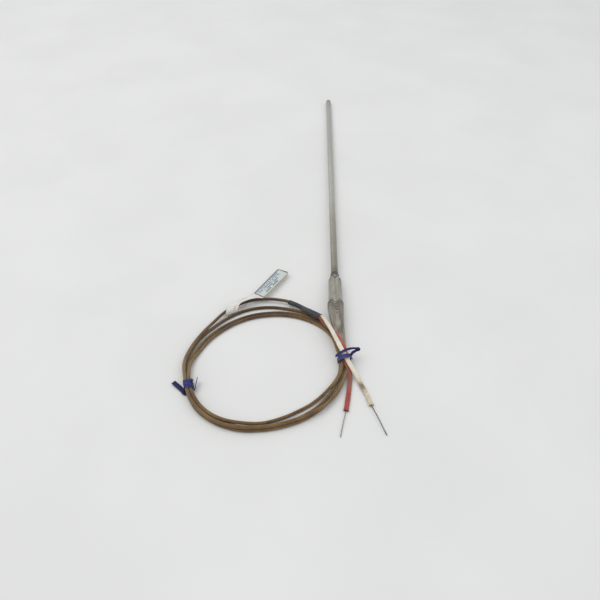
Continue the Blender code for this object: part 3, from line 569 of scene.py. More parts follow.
def cable_patches_and_shade(mat, color):
    """Brown patches, and painted shade that darkens towards the +Y side of the coil."""
    x, y, _ = mat.xyz()
    brown = mat.mix(mat.span(mat.noise(16.0), 0.42, 0.62), (1, 1, 1), (0.72, 0.62, 0.54))
    color = mat.mix(1.0, color, brown, "MULTIPLY")
    # Painted shade: darker towards the +Y side of the coil.
    shade = mat.ramp(mat.span(y, -0.545, -0.395, kind="LINEAR"),
                     [(0.0, (0.66, 0.64, 0.62)), (0.12, (0.66, 0.63, 0.60)),
                      (0.34, (0.58, 0.54, 0.50)), (0.60, (0.54, 0.50, 0.48)),
                      (0.76, (0.38, 0.35, 0.36)), (0.90, (0.28, 0.26, 0.29)),
                      (1.0, (0.27, 0.26, 0.30))])
    # Less painted shade in one corner of the coil, by the leads.
    corner = mat.mul(mat.span(x, -0.062, -0.020), mat.span(y, -0.50, -0.46))
    shade = mat.mix(corner, shade, (0.72, 0.66, 0.56))
    return mat.mix(1.0, color, shade, "MULTIPLY")


def rust(mat, color):
    """Tan patches, brown specks, a dark band and a tanned end."""
    _, y, _ = mat.xyz()
    blotches = mat.noise(60.0, detail=5.0, rough=0.7)
    spots = mat.noise(420.0, rough=0.7)
    patch = mat.span(mat.add(mat.mul(mat.span(y, -0.470, -0.492), 0.26), blotches), 0.66, 0.80)
    color = mat.mix(mat.mul(patch, 0.36), color, rgb(176, 138, 92))
    speck = mat.mul(mat.span(spots, 0.64, 0.72), mat.span(y, -0.468, -0.482))
    color = mat.mix(mat.mul(speck, 0.7), color, rgb(120, 84, 52))
    band = mat.mul(mat.span(y, -0.491, -0.4955), mat.span(y, -0.5035, -0.498))
    band = mat.mul(band, mat.span(blotches, 0.38, 0.6))
    color = mat.mix(mat.mul(band, 0.85), color, rgb(104, 70, 40))
    return mat.mix(mat.mul(mat.span(y, -0.507, -0.515), 0.25), color, rgb(190, 170, 134))


def faded(mat, color):
    """Darker near the black sleeve, pale patches, and one dull stretch."""
    _, y, _ = mat.xyz()
    blotches = mat.noise(90.0, detail=5.0, rough=0.7)
    color = mat.mix(mat.mul(mat.span(y, -0.449, -0.440), 0.35), color, rgb(84, 34, 28))
    dull = mat.mul(mat.span(y, -0.474, -0.482), mat.span(y, -0.500, -0.492))
    color = mat.mix(mat.mul(mat.span(blotches, 0.42, 0.62), 0.45), color, rgb(172, 112, 92))
    return mat.mix(mat.mul(dull, 0.5), color, rgb(132, 104, 82))


# ------------------------------------------------------------------ single materials
def sheath_mat():
    """Dull drawn stainless, with a brown heat tint towards the joint."""
    mat = Material("mat_sheath")
    _, y, _ = mat.xyz()
    tint = mat.ramp(mat.span(y, -0.375, 0.0, kind="LINEAR"),
                    [(0.0, rgb(112, 106, 92)), (0.026, rgb(134, 129, 117)),
                     (0.055, rgb(158, 154, 142)), (0.16, rgb(172, 168, 155)),
                     (0.26, rgb(186, 182, 168)), (0.36, rgb(204, 203, 195)),
                     (0.93, rgb(206, 204, 198)), (1.0, rgb(176, 174, 168))])
    streaks = mat.noise(420.0, detail=5.0, rough=0.65, stretch=(6.0, 0.18, 6.0))
    mottle = mat.noise(60.0, detail=6.0, rough=0.7)
    grain = mat.noise(2600.0, stretch=(1.0, 0.12, 1.0))
    color = mat.mix(mat.span(streaks, 0.3, 0.75, high=0.35), tint, rgb(118, 113, 102))
    color = mat.mix(mat.span(mottle, 0.52, 0.75, high=0.30), color, rgb(206, 202, 192))
    mat.bump(mat.add(grain, mat.mul(streaks, 0.8)), 0.00003, strength=0.6)
    return mat.finish(color=color, metal=0.85, rough=mat.span(mottle, 0.2, 0.8, 0.36, 0.55),
                      aniso=0.35)


def weld_mat():
    mat = Material("mat_weld")
    grain = mat.noise(900.0, detail=5.0, rough=0.7)
    patches = mat.span(mat.noise(160.0), 0.35, 0.7)
    mat.bump(grain, 0.00004, strength=0.7)
    return mat.finish(color=mat.mix(patches, rgb(128, 126, 120), rgb(172, 170, 163)), metal=0.9,
                      rough=mat.span(grain, 0.2, 0.8, 0.36, 0.6))


def tie_mat():
    """Scuffed blue-violet film."""
    mat = Material("mat_tie_ribbon")
    scuffs, grain = mat.noise(260.0, detail=5.0, rough=0.65), mat.noise(1600.0)
    color = mat.ramp(scuffs, [(0.3, rgb(28, 27, 76)), (0.5, rgb(46, 45, 108)),
                              (0.72, rgb(80, 82, 142))])
    mat.bump(mat.add(scuffs, mat.mul(grain, 0.3)), 0.00008, strength=0.6)
    # The mesh's tone adds painted shade (darker) and painted highlight (lighter).
    color = mat.toned(color, rgb(14, 12, 66), rgb(94, 98, 158))
    return mat.finish(color=color, rough=mat.span(grain, 0.2, 0.8, 0.35, 0.55), spec=0.25)


def strip_mat():
    """Off-white film, darkened along its edges by painted shadow, with a few small grey ticks."""
    mat = Material("mat_label_strip")
    u, v = mat.uv()
    mottle, grain = mat.noise(50.0, detail=5.0), mat.noise(900.0, detail=4.0)
    color = mat.mix(mat.span(mottle, 0.35, 0.65), rgb(236, 231, 222), rgb(226, 216, 208))
    repeat = mat.math("LESS_THAN", mat.math("MODULO", v, 1.9), 0.7)
    ticks = mat.mul(repeat, mat.between(u, 0.60, 0.74))
    ticks = mat.mul(ticks, mat.mul(mat.between(v, 69.0, 74.4), 0.8))
    color = mat.mix(ticks, color, rgb(70, 72, 76))
    # Painted shadow along both long edges.
    from_middle = mat.math("ABSOLUTE", mat.sub(u, 0.5))
    edge_shadow = mat.span(mat.add(from_middle, mat.mul(mottle, 0.05)), 0.49, 0.525)
    color = mat.mix(mat.mul(edge_shadow, 0.75), color, rgb(96, 98, 88))
    mat.bump(grain, 0.00002, strength=0.4)
    return mat.finish(color=color, rough=0.45, spec=0.5, sub=0.05)


def label_mat(length):
    """Laminate with a blue wash, rows of bars and a dark rim of painted edge shadow; length is the
    label's, in mm.
    """
    mat = Material("mat_label_face")
    u, v = mat.uv()
    mottle, grain = mat.noise(45.0, detail=5.0), mat.noise(900.0, detail=4.0)
    color = mat.mix(mat.span(mottle, 0.3, 0.7), rgb(212, 214, 200), rgb(198, 206, 198))
    wash = mat.mul(mat.between(u, 0.10, 0.52), mat.between(v, 6.0, length - 1.6))
    color = mat.mix(mat.mul(wash, 0.30), color, rgb(150, 174, 200))
    # u from, u to, pitch, share of bars kept, seed, v from, v to, strength, colour
    for u_from, u_to, pitch, share, seed, v_from, v_to, strength, ink in (
            (0.16, 0.27, 1.6, 0.7, 3.0, 6.0, length - 2.6, 0.85, rgb(70, 96, 156)),
            (0.34, 0.46, 2.3, 0.75, 11.0, 7.0, length - 3.5, 0.8, rgb(84, 112, 168)),
            (0.56, 0.66, 1.9, 0.62, 27.0, 12.0, 33.0, 0.95, rgb(34, 38, 48)),
            (0.74, 0.86, 2.7, 0.6, 41.0, 15.0, 34.0, 0.95, rgb(26, 28, 34))):
        chance = mat.node("ShaderNodeTexWhiteNoise", noise_dimensions="1D")
        number = mat.math("FLOOR", mat.math("DIVIDE", v, pitch))
        mat.put(chance.inputs["W"], mat.add(number, seed))
        kept = mat.math("LESS_THAN", chance.outputs["Value"], share)
        bar = mat.math("LESS_THAN", mat.math("MODULO", v, pitch), pitch * 0.72)
        printed = mat.mul(mat.mul(mat.between(u, u_from, u_to), kept),
                          mat.mul(bar, mat.between(v, v_from, v_to)))
        color = mat.mix(mat.mul(printed, strength), color, ink)
    # Painted shadow along the edges: full on one long side and at both ends, weaker on the other side.
    side_rims = mat.math("MAXIMUM", mat.span(u, 0.115, 0.075),
                         mat.mul(mat.span(u, 0.955, 0.975), 0.45))
    end_rims = mat.math("MAXIMUM", mat.span(v, 1.6, 1.1), mat.span(v, length - 1.1, length - 0.6))
    rim = mat.math("MAXIMUM", side_rims, end_rims)
    color = mat.mix(mat.mul(rim, 0.92), color, rgb(58, 64, 50))
    mat.bump(grain, 0.000015, strength=0.3)
    return mat.finish(color=color, rough=0.3, spec=0.5, coat=0.35, coat_rough=0.2)


def floor_mat():
    mat = Material("mat_floor")
    patches = mat.span(mat.noise(9.0, detail=4.0, rough=0.5), 0.3, 0.7)
    return mat.finish(color=mat.mix(patches, rgb(229, 229, 225), rgb(233, 233, 229)), rough=0.6,
                      spec=0.2)


SHEATH = sheath_mat()
WELD = weld_mat()
FRONT = shrink_mat("mat_front_boot", light=rgb(174, 169, 157), mid=rgb(149, 144, 132),
                   dark=rgb(116, 110, 98), fold_scale=1.6, rough=0.55, depth=0.00012)
REAR = shrink_mat("mat_rear_boot", light=rgb(160, 153, 140), mid=rgb(134, 127, 113),
                  dark=rgb(82, 76, 63), fold_scale=2.2, rough=0.6, depth=0.0002, stain_and_shade=boot_tail)
BLACK = shrink_mat("mat_black_shrink", light=rgb(80, 80, 81), mid=rgb(52, 52, 53),
                   dark=rgb(32, 32, 33), fold_scale=1.0, rough=0.5, depth=0.0003)
BRAID = braid_mat("mat_cable_braid", light=rgb(196, 168, 116), mid=rgb(128, 102, 66),
                  dark=rgb(46, 33, 22), carriers=CABLE_CARRIERS, pitch=BRAID_PITCH,
                  stain_and_shade=cable_patches_and_shade, depth=0.00016, contrast=1.15, sheen=0.3)
SLEEVE_BRAID = {"carriers": SLEEVE_CARRIERS, "pitch": SLEEVE_PITCH, "depth": 0.00010,
                "contrast": 0.9, "sheen": 0.4}
WHITE = braid_mat("mat_cream_sleeve", light=rgb(246, 240, 222), mid=rgb(232, 222, 198),
                  dark=rgb(196, 182, 150), stain_and_shade=rust, **SLEEVE_BRAID)
RED = braid_mat("mat_red_sleeve", light=rgb(196, 92, 76), mid=rgb(164, 58, 48),
                dark=rgb(104, 30, 26), stain_and_shade=faded, **SLEEVE_BRAID)
IRON = metal_mat("mat_iron_wire", rgb(70, 66, 62), rgb(112, 106, 100), rough=0.5, metal=0.8,
                 scale=900.0)
CONSTANTAN = metal_mat("mat_constantan_wire", rgb(132, 128, 122), rgb(176, 172, 166), rough=0.42,
                       metal=0.9, scale=900.0)
BEAD = metal_mat("mat_bead", rgb(80, 74, 66), rgb(130, 120, 108), rough=0.5)
BARREL = metal_mat("mat_barrel", rgb(150, 148, 142), rgb(184, 182, 175), rough=0.35, scale=300.0)
SPLICE = metal_mat("mat_splice", rgb(170, 168, 160), rgb(196, 194, 188), rough=0.32, scale=400.0)
TIE_WIRE = metal_mat("mat_tie_wire", rgb(120, 118, 120), rgb(160, 158, 160), rough=0.4,
                     scale=900.0)
MAGNESIA = powder_mat("mat_magnesia", rgb(226, 224, 216), rgb(242, 241, 236), scale=700.0)
POTTING = powder_mat("mat_potting", rgb(170, 160, 140), rgb(202, 192, 172), scale=400.0)
SPLICE_SLEEVE = powder_mat("mat_splice_sleeve", rgb(220, 214, 198), rgb(240, 236, 224),
                           scale=600.0, rough=0.7)
TIE = tie_mat()
STRIP = strip_mat()

# ------------------------------------------------------------------ probe
PROBE_DIR = np.array([0.0, -1.0, PROBE_RISE]) / math.hypot(1.0, PROBE_RISE)
PROBE_SIDE = np.array([1.0, 0.0, 0.0])
PROBE_DOWN = -np.cross(PROBE_DIR, PROBE_SIDE)


def round_probe(along, radius, sides=PROBE_SIDES):
    """Sections about the probe's axis; the angle starts at +X and turns downwards."""
    radius = np.broadcast_to(radius, (len(along), sides))
    angle = circle(sides)
    return (along[:, None, None] * PROBE_DIR + (radius * np.cos(angle))[..., None] * PROBE_SIDE
            + (radius * np.sin(angle))[..., None] * PROBE_DOWN)


def build_tip():
    """Welded dome, faintly rippled, with a soft bead by the tube. Returns its length."""
    slope = np.radians([6, 12, 20, 30, 40, 50, 60, 70, 80, 90])
    along = SHEATH_R * (1 - np.cos(slope)) * 0.9
    along = along - along[0]
    along = np.r_[along, along[-1] + np.array([0.25, 0.5, 0.62])]
    radius = np.r_[SHEATH_R * np.sin(slope), SHEATH_R + np.array([0.02, 0.015, -0.04])]
    ripple = wobble(circle(PROBE_SIDES)[None, :] * 2.2, along[:, None] * 2.5, 3)
    radius = radius[:, None] + 0.03 * ripple * np.clip(along[:, None], 0, 1)
    tip = skin("tip_dome", round_probe(along, radius), WELD)
    stand_in(tip, "tip_weld_cap", "probe")
    return along[-1]


def build_sheath(start):
    along = np.r_[start + 0.04, start + 0.25, np.linspace(5, 356, 150),
                  np.linspace(356.5, 376, 34)]
    angle = circle(PROBE_SIDES)[None, :]
    radius = SHEATH_R + 0.012 * wobble(angle / math.pi, along[:, None] / 22.0, 5)
    radius[0] -= 0.08
    # Shallow dents: distance from the tip, angle, half length, depth.
    for dent_at, dent_angle, width, depth in ((118, 1.9, 3.2, 0.05), (203, 1.2, 4.5, 0.06),
                                              (287, 2.2, 3.0, 0.05)):
        radius -= depth * bell(along[:, None] - dent_at, width) * bell(angle - dent_angle, 0.4)
    sheath = hollow("sheath", round_probe(along, radius), round_probe(along[::6], 2.35), SHEATH)
    stand_in(sheath, "sheath_tube", "probe")


def edge_dip(angle):
    """Depth of the V-shaped dips in the rear boot's edge: one on top, two underneath."""
    dip = 0
    for middle, depth, width in ((math.pi / 2, 1.0, 0.70), (math.pi * 1.22, 0.7, 0.62),
                                 (math.pi * 1.80, 0.8, 0.66)):
        dip = dip + depth * np.exp(-(np.abs(wrapped(angle - middle)) / width / 0.64) ** 2.1)
    return dip


def edge_at(angle):
    """Distance (-y) of the rear boot's edge, which the dips push towards the cable."""
    return 408.0 + 6.8 * edge_dip(angle) + 0.35 * np.cos(7 * angle + 0.8)


def build_front_boot():
    """Heat-shrink over the neck, the cone and the barrel."""
    sides = 168
    along = np.r_[np.linspace(366.0, 382, 84), np.linspace(382.4, 398, 36),
                  np.linspace(398.25, 422, 96)]
    angle, dist = np.meshgrid(circle(sides), along)
    body = rise(dist, 374, 3)
    relief = body * (0.045 * wobble(angle * 3.5, dist / 9.0, 11)
                     + 0.04 * wobble(angle * 7.5, dist / 14.0, 12))
    # Gathers round the shoulder, fine ones on the neck.
    crimp = bell(dist - 375.8, 3.6)
    relief += crimp * (0.13 * np.cos(13 * angle + 1.2 * np.sin(dist * 0.9))
                       + 0.12 * wobble(angle * 6.5, dist * 0.55, 13))
    neck = rise(dist, 366.6, 1.0) * rise(dist, 374.0, -2.0)
    relief += neck * 0.10 * np.abs(np.cos(6 * angle + 0.5 * np.sin(dist * 1.3)))
    tone = 0.95 * rise(dist, 366.2, 0.5) * rise(dist, 372.6, -1.4)
    # Painted shade on the gathered shoulder, deeper in the crimps and on the +X side.
    tone += crimp * (0.62 + 0.30 * np.cos(angle) + 0.95 * wobble(angle * 4.2, dist * 0.55, 14)
                     + 0.45 * np.cos(9 * angle + 1.6 * np.sin(dist * 0.8)))
    # Ripples on the tip's side of the rear boot's edge, with painted highlight on their crests and
    # painted shade next to them towards the edge. The angle turns downwards here and upwards in the
    # rear boot, hence the sign.
    edge = edge_at(-circle(sides))[None, :]
    near_dip = np.clip(edge_dip(-circle(sides)) * 2.2 + 0.25, 0, 1)[None, :]
    for back, height in ((2.2, 0.20), (5.0, 0.12)):
        ridge = bell(dist - (edge - back), 0.55)
        relief += height * ridge * near_dip
        tone -= 0.85 * ridge * near_dip
        tone += bell(dist - (edge - back + 1.4), 0.7) * near_dip
    # Painted shadow on the front boot just in front of the rear boot's edge.
    tone += 1.3 * bell(dist - edge + 0.5, 1.0)
    # Long streaks.
    tone += body * (0.20 * wobble(angle * 6.0, dist / 20.0, 15) + 0.02)
    outer = round_probe(along, smooth_through(FRONT_OUTER, along) + relief, sides)
    inner = round_probe(along[::4], smooth_through(FRONT_INNER, along[::4]), sides)
    boot = hollow("front_shrink", outer, inner, FRONT, tone=np.clip(tone, -1, 1))
    stand_in(boot, "front_boot", "probe")


def build_barrel():
    """Transition barrel with eight crimp flats on its cone."""
    along = np.r_[np.linspace(370.2, 373.4, 8), np.linspace(373.8, 378.2, 12),
                  np.linspace(379, 404, 26)]
    flats = 0.5 + 0.5 * np.cos(8 * circle(PROBE_SIDES))
    outer = smooth_through(BARREL_OUTER, along) - 0.10 * bell(along[:, None] - 375.4, 1.6) * flats
    barrel = hollow("crimp_barrel", round_probe(along, outer),
                    round_probe(along, smooth_through(BARREL_INNER, along)), BARREL)
    stand_in(barrel, "transition_barrel", "probe")


# ------------------------------------------------------------------ the cable's lay
def settled(degrees):
    """(radius, height) of each strand at an angle, pushed apart where they crowd."""
    spots = [smooth_through(keys, degrees) for keys in TURNS if degrees <= keys[-1][0]]
    for _ in range(60):
        for i, j in combinations(range(len(spots)), 2):
            gap = spots[j] - spots[i]
            distance = float(np.linalg.norm(gap))
            if distance < EASED:
                push = gap / max(distance, 1e-6) * (EASED - distance) * 0.5
                spots[i], spots[j] = spots[i] - push, spots[j] + push
        for spot in spots:
            spot[1] = max(spot[1], LOW)
    return spots


def coil_point(degrees, spot):
    angle = SKEW - math.radians(degrees)
    return np.array([COIL_CENTRE[0] + spot[0] * math.cos(angle),
                     COIL_CENTRE[1] + spot[0] * math.sin(angle), spot[1] - TABLE])


def coil_stations():
    """(total degrees, radius, height) rows of the whole coil."""
    end = 3 * 360 + TURNS[3][-1][0]
    rows = []
    for total in [*np.arange(0, end, COIL_STEP), end]:
        turn, degrees = int(total // 360), total % 360
        spot = settled(degrees)[turn]
        if degrees < COIL_STEP and turn > 0:
            fade = degrees / COIL_STEP
            spot = spot * fade + smooth_through(TURNS[turn - 1], 360) * (1 - fade)
        rows.append((total, *spot))
    return np.array(rows)


stations = coil_stations()
coil_degrees = np.arange(0, stations[-1, 0] + 0.01, 1.0)
coil = np.array([coil_point(degrees, spot) for degrees, spot
                 in zip(coil_degrees, smooth_through(stations, coil_degrees))])
coil_start, coil_next = (coil_point(row[0], row[1:]) for row in stations[:2])
black_path = path_through(at_height(BLACK_LINE), 4.2)
lead_in = path_through(at_height(BOOT_LINE)[1:], 8.0)


def build_jacket():
    """Cable braid, from inside the rear boot's tail round the coil into the black sleeve."""
    step = 0.55
    tail = path_through([lead_in[-2], lead_in[-1], coil_start], 1.0)
    points = np.concatenate([tail[:-1], coil, black_path[:4]])
    kept = [points[0]]
    for point in points[1:]:
        if np.linalg.norm(point - kept[-1]) > step:
            kept.append(point)
    path = path_through(kept, step)
    relief = braid_relief(CABLE_CARRIERS, BRAID_PITCH, depth=0.07, lump=0.03)
    jacket = skin("cable_braid", rings(path, CABLE_R, CABLE_R * 0.97, 24, relief=relief), BRAID,
                  v=arc(path))
    stand_in(jacket, "cable_jacket", "cable")


def build_rear_boot():
    """Heat-shrink that narrows from the front boot down to the cable."""
    path = path_through(np.vstack([(0.0, -396.0, 7.27 - TABLE), at_height(BOOT_LINE),
                                   coil_start + (coil_next - coil_start) * 0.06]), 0.34)
    start = int(np.argmax(-path[:, 1] > 407.2)) - 1
    tangent, side, up = (rows[start:] for rows in frames(path))
    path = path[start:]
    around = circle(176)
    half = smooth_through(BOOT_HALF, -path[:, 1])
    half_w, half_h = half[:, :1], half[:, 1:]
    dist = -path[:, 1][:, None]
    angle = np.broadcast_to(around[None, :], (len(path), len(around)))
    # Folds grow where the tube narrows on to the cable: depth, angle, drift, width.
    gather = rise(dist, 412, 26) * np.clip((482 - dist) / 20, 0.25, 1)
    fold = np.zeros(angle.shape)
    for depth, fold_angle, drift, width in ((0.55, 2.35, 0.012, 0.16), (0.42, 1.02, -0.008, 0.14),
                                            (0.30, 1.62, 0.0, 0.12), (0.35, 5.1, 0.0, 0.3)):
        fold -= depth * bell(wrapped(angle - fold_angle + (dist - 430) * drift), width)
    fold += 0.10 * np.cos(11 * angle + 0.05 * (dist - 420)) + 0.05 * np.cos(19 * angle - 0.09 * dist)
    relief = gather * fold * np.clip(half_w / 5.0, 0.35, 1)
    relief = (relief + 0.06 * wobble(angle * 3, dist / 8.0, 31)
              + 0.04 * wobble(angle * 8, dist / 12.0, 32))
    # Painted shade in the folds, and uneven tone over the gathered part.
    tone = (0.85 * np.clip(-fold, 0, 0.5) * 2 * gather * 0.55
            + gather * (-0.08 + 0.50 * wobble(angle * 4, dist / 7.0, 33)))
    # Pleats that follow the edge and its dips, with painted highlight on their ridges and painted
    # shade in the grooves behind them.
    edge = edge_at(around)
    lip = dist - edge
    near_dip = np.clip(edge_dip(around) * 2.2 + 0.18, 0, 1)[None, :]
    for pleat_at, height in ((1.1, 0.28), (4.0, 0.24), (6.9, 0.03)):
        ridge = bell(lip - pleat_at, 0.85)
        relief = relief + height * ridge * near_dip
        groove = 1.5 * (0.4 + height * 2.2) * bell(lip - pleat_at - 1.5, 0.95)
        tone = tone - 0.8 * ridge * near_dip + groove * near_dip
    # Painted shadow line along the edge itself.
    tone = tone + bell(lip, 0.55)
    tone = tone + rise(lip, 3, 6) * (0.26 * wobble(angle * 8.0, dist / 24.0, 34)
                                     + 0.14 * wobble(angle * 15.0, dist / 14.0, 35))
    # Painted shade on the flanks of the edge, none on the crown.
    flanks = np.clip(np.abs(np.cos(around))[None, :] * 1.6 - 0.6, 0, 1)
    tone = tone + 0.55 * bell(lip - 1.6, 1.8) * flanks
    # Sections on the tip's side of the edge are pulled back to it, so the cut is wavy.
    pull = np.clip(edge - dist, 0, None)

    def wall(extra, pull):
        grid = sections(path, side, up, np.cos(around)[None, :] * (half_w + extra),
                        np.sin(around)[None, :] * (half_h + extra))
        return grid + pull[..., None] * tangent[:, None]

    thickness = np.clip(half_w * 0.08, 0.28, 0.45)
    inner = wall(np.minimum(relief, 0.05) - thickness, pull + 0.05)
    boot = hollow("rear_shrink", wall(relief, pull), inner[::4], REAR, smooth=60,
                  tone=np.clip(tone, -1, 1))
    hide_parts("rear_boot")
    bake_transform(boot)


def build_breakout():
    """Black sleeve where the cable splits into its two leads."""
    sides = 48
    path = path_through(at_height(BLACK_LINE), 0.6)
    # Fraction of the length, half width, half height.
    half_w, half_h = smooth_through([(0, 2.05, 2.05), (0.4, 2.15, 2.1), (0.7, 2.85, 2.15),
                                     (1, 3.0, 2.2)], np.linspace(0, 1, len(path))).T

    def relief(angle, along):
        """Lumps, and a pinch above and below between the leads."""
        pinch = (bell(wrapped(angle - math.pi / 2), 0.35)
                 + bell(wrapped(angle + math.pi / 2), 0.35))
        return (0.09 * wobble(angle * 1.6, along / 3.2, 41) + 0.05 * wobble(angle * 4, along / 1.6, 42)
                - 0.34 * rise(along, 20, 12) * pinch)

    outer = rings(path, half_w, half_h, sides, relief=relief)
    inner = rings(path, half_w - 0.42, half_h - 0.42, sides)
    # Slightly ragged cut ends.
    tangent = frames(path)[0]
    ragged = 0.3 + 0.35 * wobble(np.arange(sides) * 0.35, np.zeros(sides), 43)
    outer[0] -= tangent[0] * ragged[:, None]
    outer[-1] += tangent[-1] * ragged[:, None]
    sleeve = hollow("breakout_shrink", outer, inner, BLACK)
    stand_in(sleeve, "breakout_sleeve", "cable")


# ------------------------------------------------------------------ conductors and leads
def wire_relief(angle, along):
    return 0.02 * wobble(angle * 2, along / 1.3, 51)


def lead_paths(hand, line, tail):
    """One conductor's paths in the boot, coil and lead, and its sleeve's; hand (-1 or 1) is
    its side of the pair."""
    spine = np.vstack([PROBE_DIR * (SPLICE_AT + 0.3), PROBE_DIR * (SPLICE_AT + 5.5),
                       PROBE_DIR * 402.0, lead_in])
    offset = np.full(len(spine), PAIR)
    offset[:2], offset[2] = SPLICE_PITCH / 2, 1.25
    boot = spine + hand * offset[:, None] * frames(spine)[1]
    core = np.concatenate([coil[::3], black_path[:4]])
    core = core + hand * PAIR * frames(core)[1]
    spread = black_path[-3:] + hand * SPREAD[:, None] * frames(black_path)[1][-3:]
    sleeve = np.vstack([spread, path_through(np.vstack([spread[-1], at_height(line)]), 5.4)[1:]])
    bare = path_through(np.vstack([sleeve[-1], at_height(tail)]), 6.0)[1:]
    boot = path_through(np.vstack([boot, core[:1]]), 2.0)
    lead = path_through(np.vstack([core[-1:], sleeve, bare]), 0.55)
    return boot, core, lead, sleeve


def build_sleeve(sign, hand, path, material):
    """Braided sleeve with loose threads at its cut end; returns all its objects."""
    sides = 40
    path = path_through(path, 0.5)
    along = arc(path)
    flat = np.zeros_like(along)
    grow = rise(along, 8.4, 16.0)
    grow = grow * grow * (3 - 2 * grow)
    half_w = 1.05 * (1 - grow) + SLEEVE_W / 2 * grow
    half_h = 1.20 * (1 - grow) + SLEEVE_H / 2 * grow
    # Soft kinks and a flared cut end.
    flare = bell(along - along[-1], 1.6)
    half_w = half_w + 0.10 * wobble(along / 9.0, flat, 61 + hand) * grow + 0.18 * flare
    half_h = half_h + 0.05 * wobble(along / 7.0, flat, 63 + hand) * grow + 0.12 * flare
    relief = braid_relief(SLEEVE_CARRIERS, SLEEVE_PITCH, depth=0.05, lump=0.02)
    outer = rings(path, half_w, half_h, sides, relief=relief)
    inner = rings(path, half_w - 0.30, half_h - 0.34, sides)
    tangent, side, up = (rows[-1] for rows in frames(path))
    ragged = 0.30 * wobble(np.arange(sides) * 0.8, np.zeros(sides), 65 + hand)
    outer[-1] += tangent * (0.25 + ragged)[:, None]
    inner[-1] += tangent * (0.1 + ragged)[:, None]
    sleeve = hollow(f"{sign}_sleeve", outer, inner, material)
    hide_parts(f"{sign}_lead_sleeve")
    objects = [sleeve]
    random = np.random.RandomState(7 + hand)
    for i in range(9):
        angle = random.uniform(0, 2 * math.pi)
        root = (path[-2] + np.cos(angle) * (half_w[-1] - 0.1) * side
                + np.sin(angle) * (half_h[-1] - 0.1) * up)
        heading = tangent + 0.5 * np.cos(angle) * side + 0.35 * abs(np.sin(angle)) * UP
        length = random.uniform(0.8, 1.9)
        points = np.array([root - tangent * 0.6, root, root + heading * length * 0.5,
                           root + heading * length + random.uniform(-0.3, 0.3, 3)])
        points[:, 2] = np.maximum(points[:, 2], FLOOR + 0.2)
        objects.append(skin(f"{sign}_thread_{i}", rings(path_through(points, 0.3), 0.05, 0.05, 5),
                            material))
    return objects


def build_conductor(sign, hand, line, tail, braid, metal):
    boot, core, lead, sleeve = lead_paths(hand, line, tail)
    braid_end = int(np.argmin(np.linalg.norm(lead - sleeve[-1], axis=1))) - 6
    # Zone, wire's path, braid's path, wire radius, sides and relief, braid radii and sides.
    for zone, path, covered, wire_r, wire_sides, relief, outer_r, inner_r, sides in (
            ("boot", boot, boot[1:], 0.30, 8, None, 0.5, 0.38, 8),
            ("coil", core, core, 0.30, 8, None, 0.5, 0.38, 8),
            ("lead", lead, lead[:braid_end], WIRE_R, 14, wire_relief, 0.52, 0.40, 12)):
        wire = skin(f"{sign}_wire_{zone}", rings(path, wire_r, wire_r, wire_sides, relief=relief),
                    metal)
        cover = hollow(f"{sign}_braid_{zone}", rings(covered, outer_r, outer_r, sides),
                       rings(covered, inner_r, inner_r, sides), braid)
        if zone == "boot":
            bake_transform(wire)
            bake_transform(cover)
        elif zone == "coil":
            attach(wire, "cable")
            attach(cover, "cable")
            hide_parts(f"{sign}_conductor")
            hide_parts(f"{sign}_insulation")
    for ob in [wire, cover] + build_sleeve(sign, hand, sleeve, braid):
        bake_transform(ob)


# ------------------------------------------------------------------ ties
def ribbon_sections(path, widths):
    """Flat film with a wire ridge down the middle."""
    half, edge, core = 3.9 / 2, 0.26 / 2, 0.36
    tangent = frames(path)[0]
    size = np.clip(np.linalg.norm(widths, axis=1), 0.3, 1.3)[:, None, None]
    across = widths - (widths * tangent).sum(1)[:, None] * tangent
    across /= np.linalg.norm(across, axis=1)[:, None]
    normal = np.cross(across, tangent)
    x = [-half + 0.08, -half * 0.55, -0.42, -0.24, 0, 0.24, 0.42, half * 0.55, half - 0.08]
    top = [edge, edge, edge + 0.02, core * 0.8, core, core * 0.8, edge + 0.02, edge, edge]
    bottom = [-edge, -edge, -edge - 0.02, -core * 0.7, -core * 0.8, -core * 0.7, -edge - 0.02,
              -edge, -edge]
    x, height = np.array([(-half, 0.0), *zip(x, top), (half, 0.0), *zip(x[::-1], bottom)]).T
    ruffle = 0.07 * wobble(arc(path)[:, None] / 2.2, x[None, :] * 0.8, 71) * np.abs(x) / half
    return (path[:, None] + x[None, :, None] * size * across[:, None]
            + (height + ruffle)[..., None] * normal[:, None])


def build_tie(side, body, rows, origin, outward, along):
    """Ribbon from a tie table, and the ends of its wire core."""
    rows, axes = np.array(rows), np.array([outward, along, UP])
    world = np.c_[origin + rows[:, :3] @ axes, rows[:, 3:6] @ axes, rows[:, 6]]
    world = path_through(world, 0.55)
    path = world[:, :3]
    ribbon = skin(f"{side}_twist_tie", ribbon_sections(path, world[:, 3:6]), TIE,
                  smooth=55, tone=np.clip(world[:, 6:], -1, 1))
    stand_in(ribbon, f"{side}_tie_ribbon", body)
    tangent = frames(path)[0]
    radii = [0.18, 0.18, 0.16, 0.05]
    for i, (end, out) in enumerate(((path[0], -tangent[0]), (path[-1], tangent[-1]))):
        stub = np.array([end - out * 0.6, end, end + out * 0.22, end + out * 0.3])
        core = skin(f"{side}_twist_tie_core_{i}", rings(stub, radii, radii, 12), TIE_WIRE)
        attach(core, body)
        if i == 0:
            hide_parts(f"{side}_tie_wire")


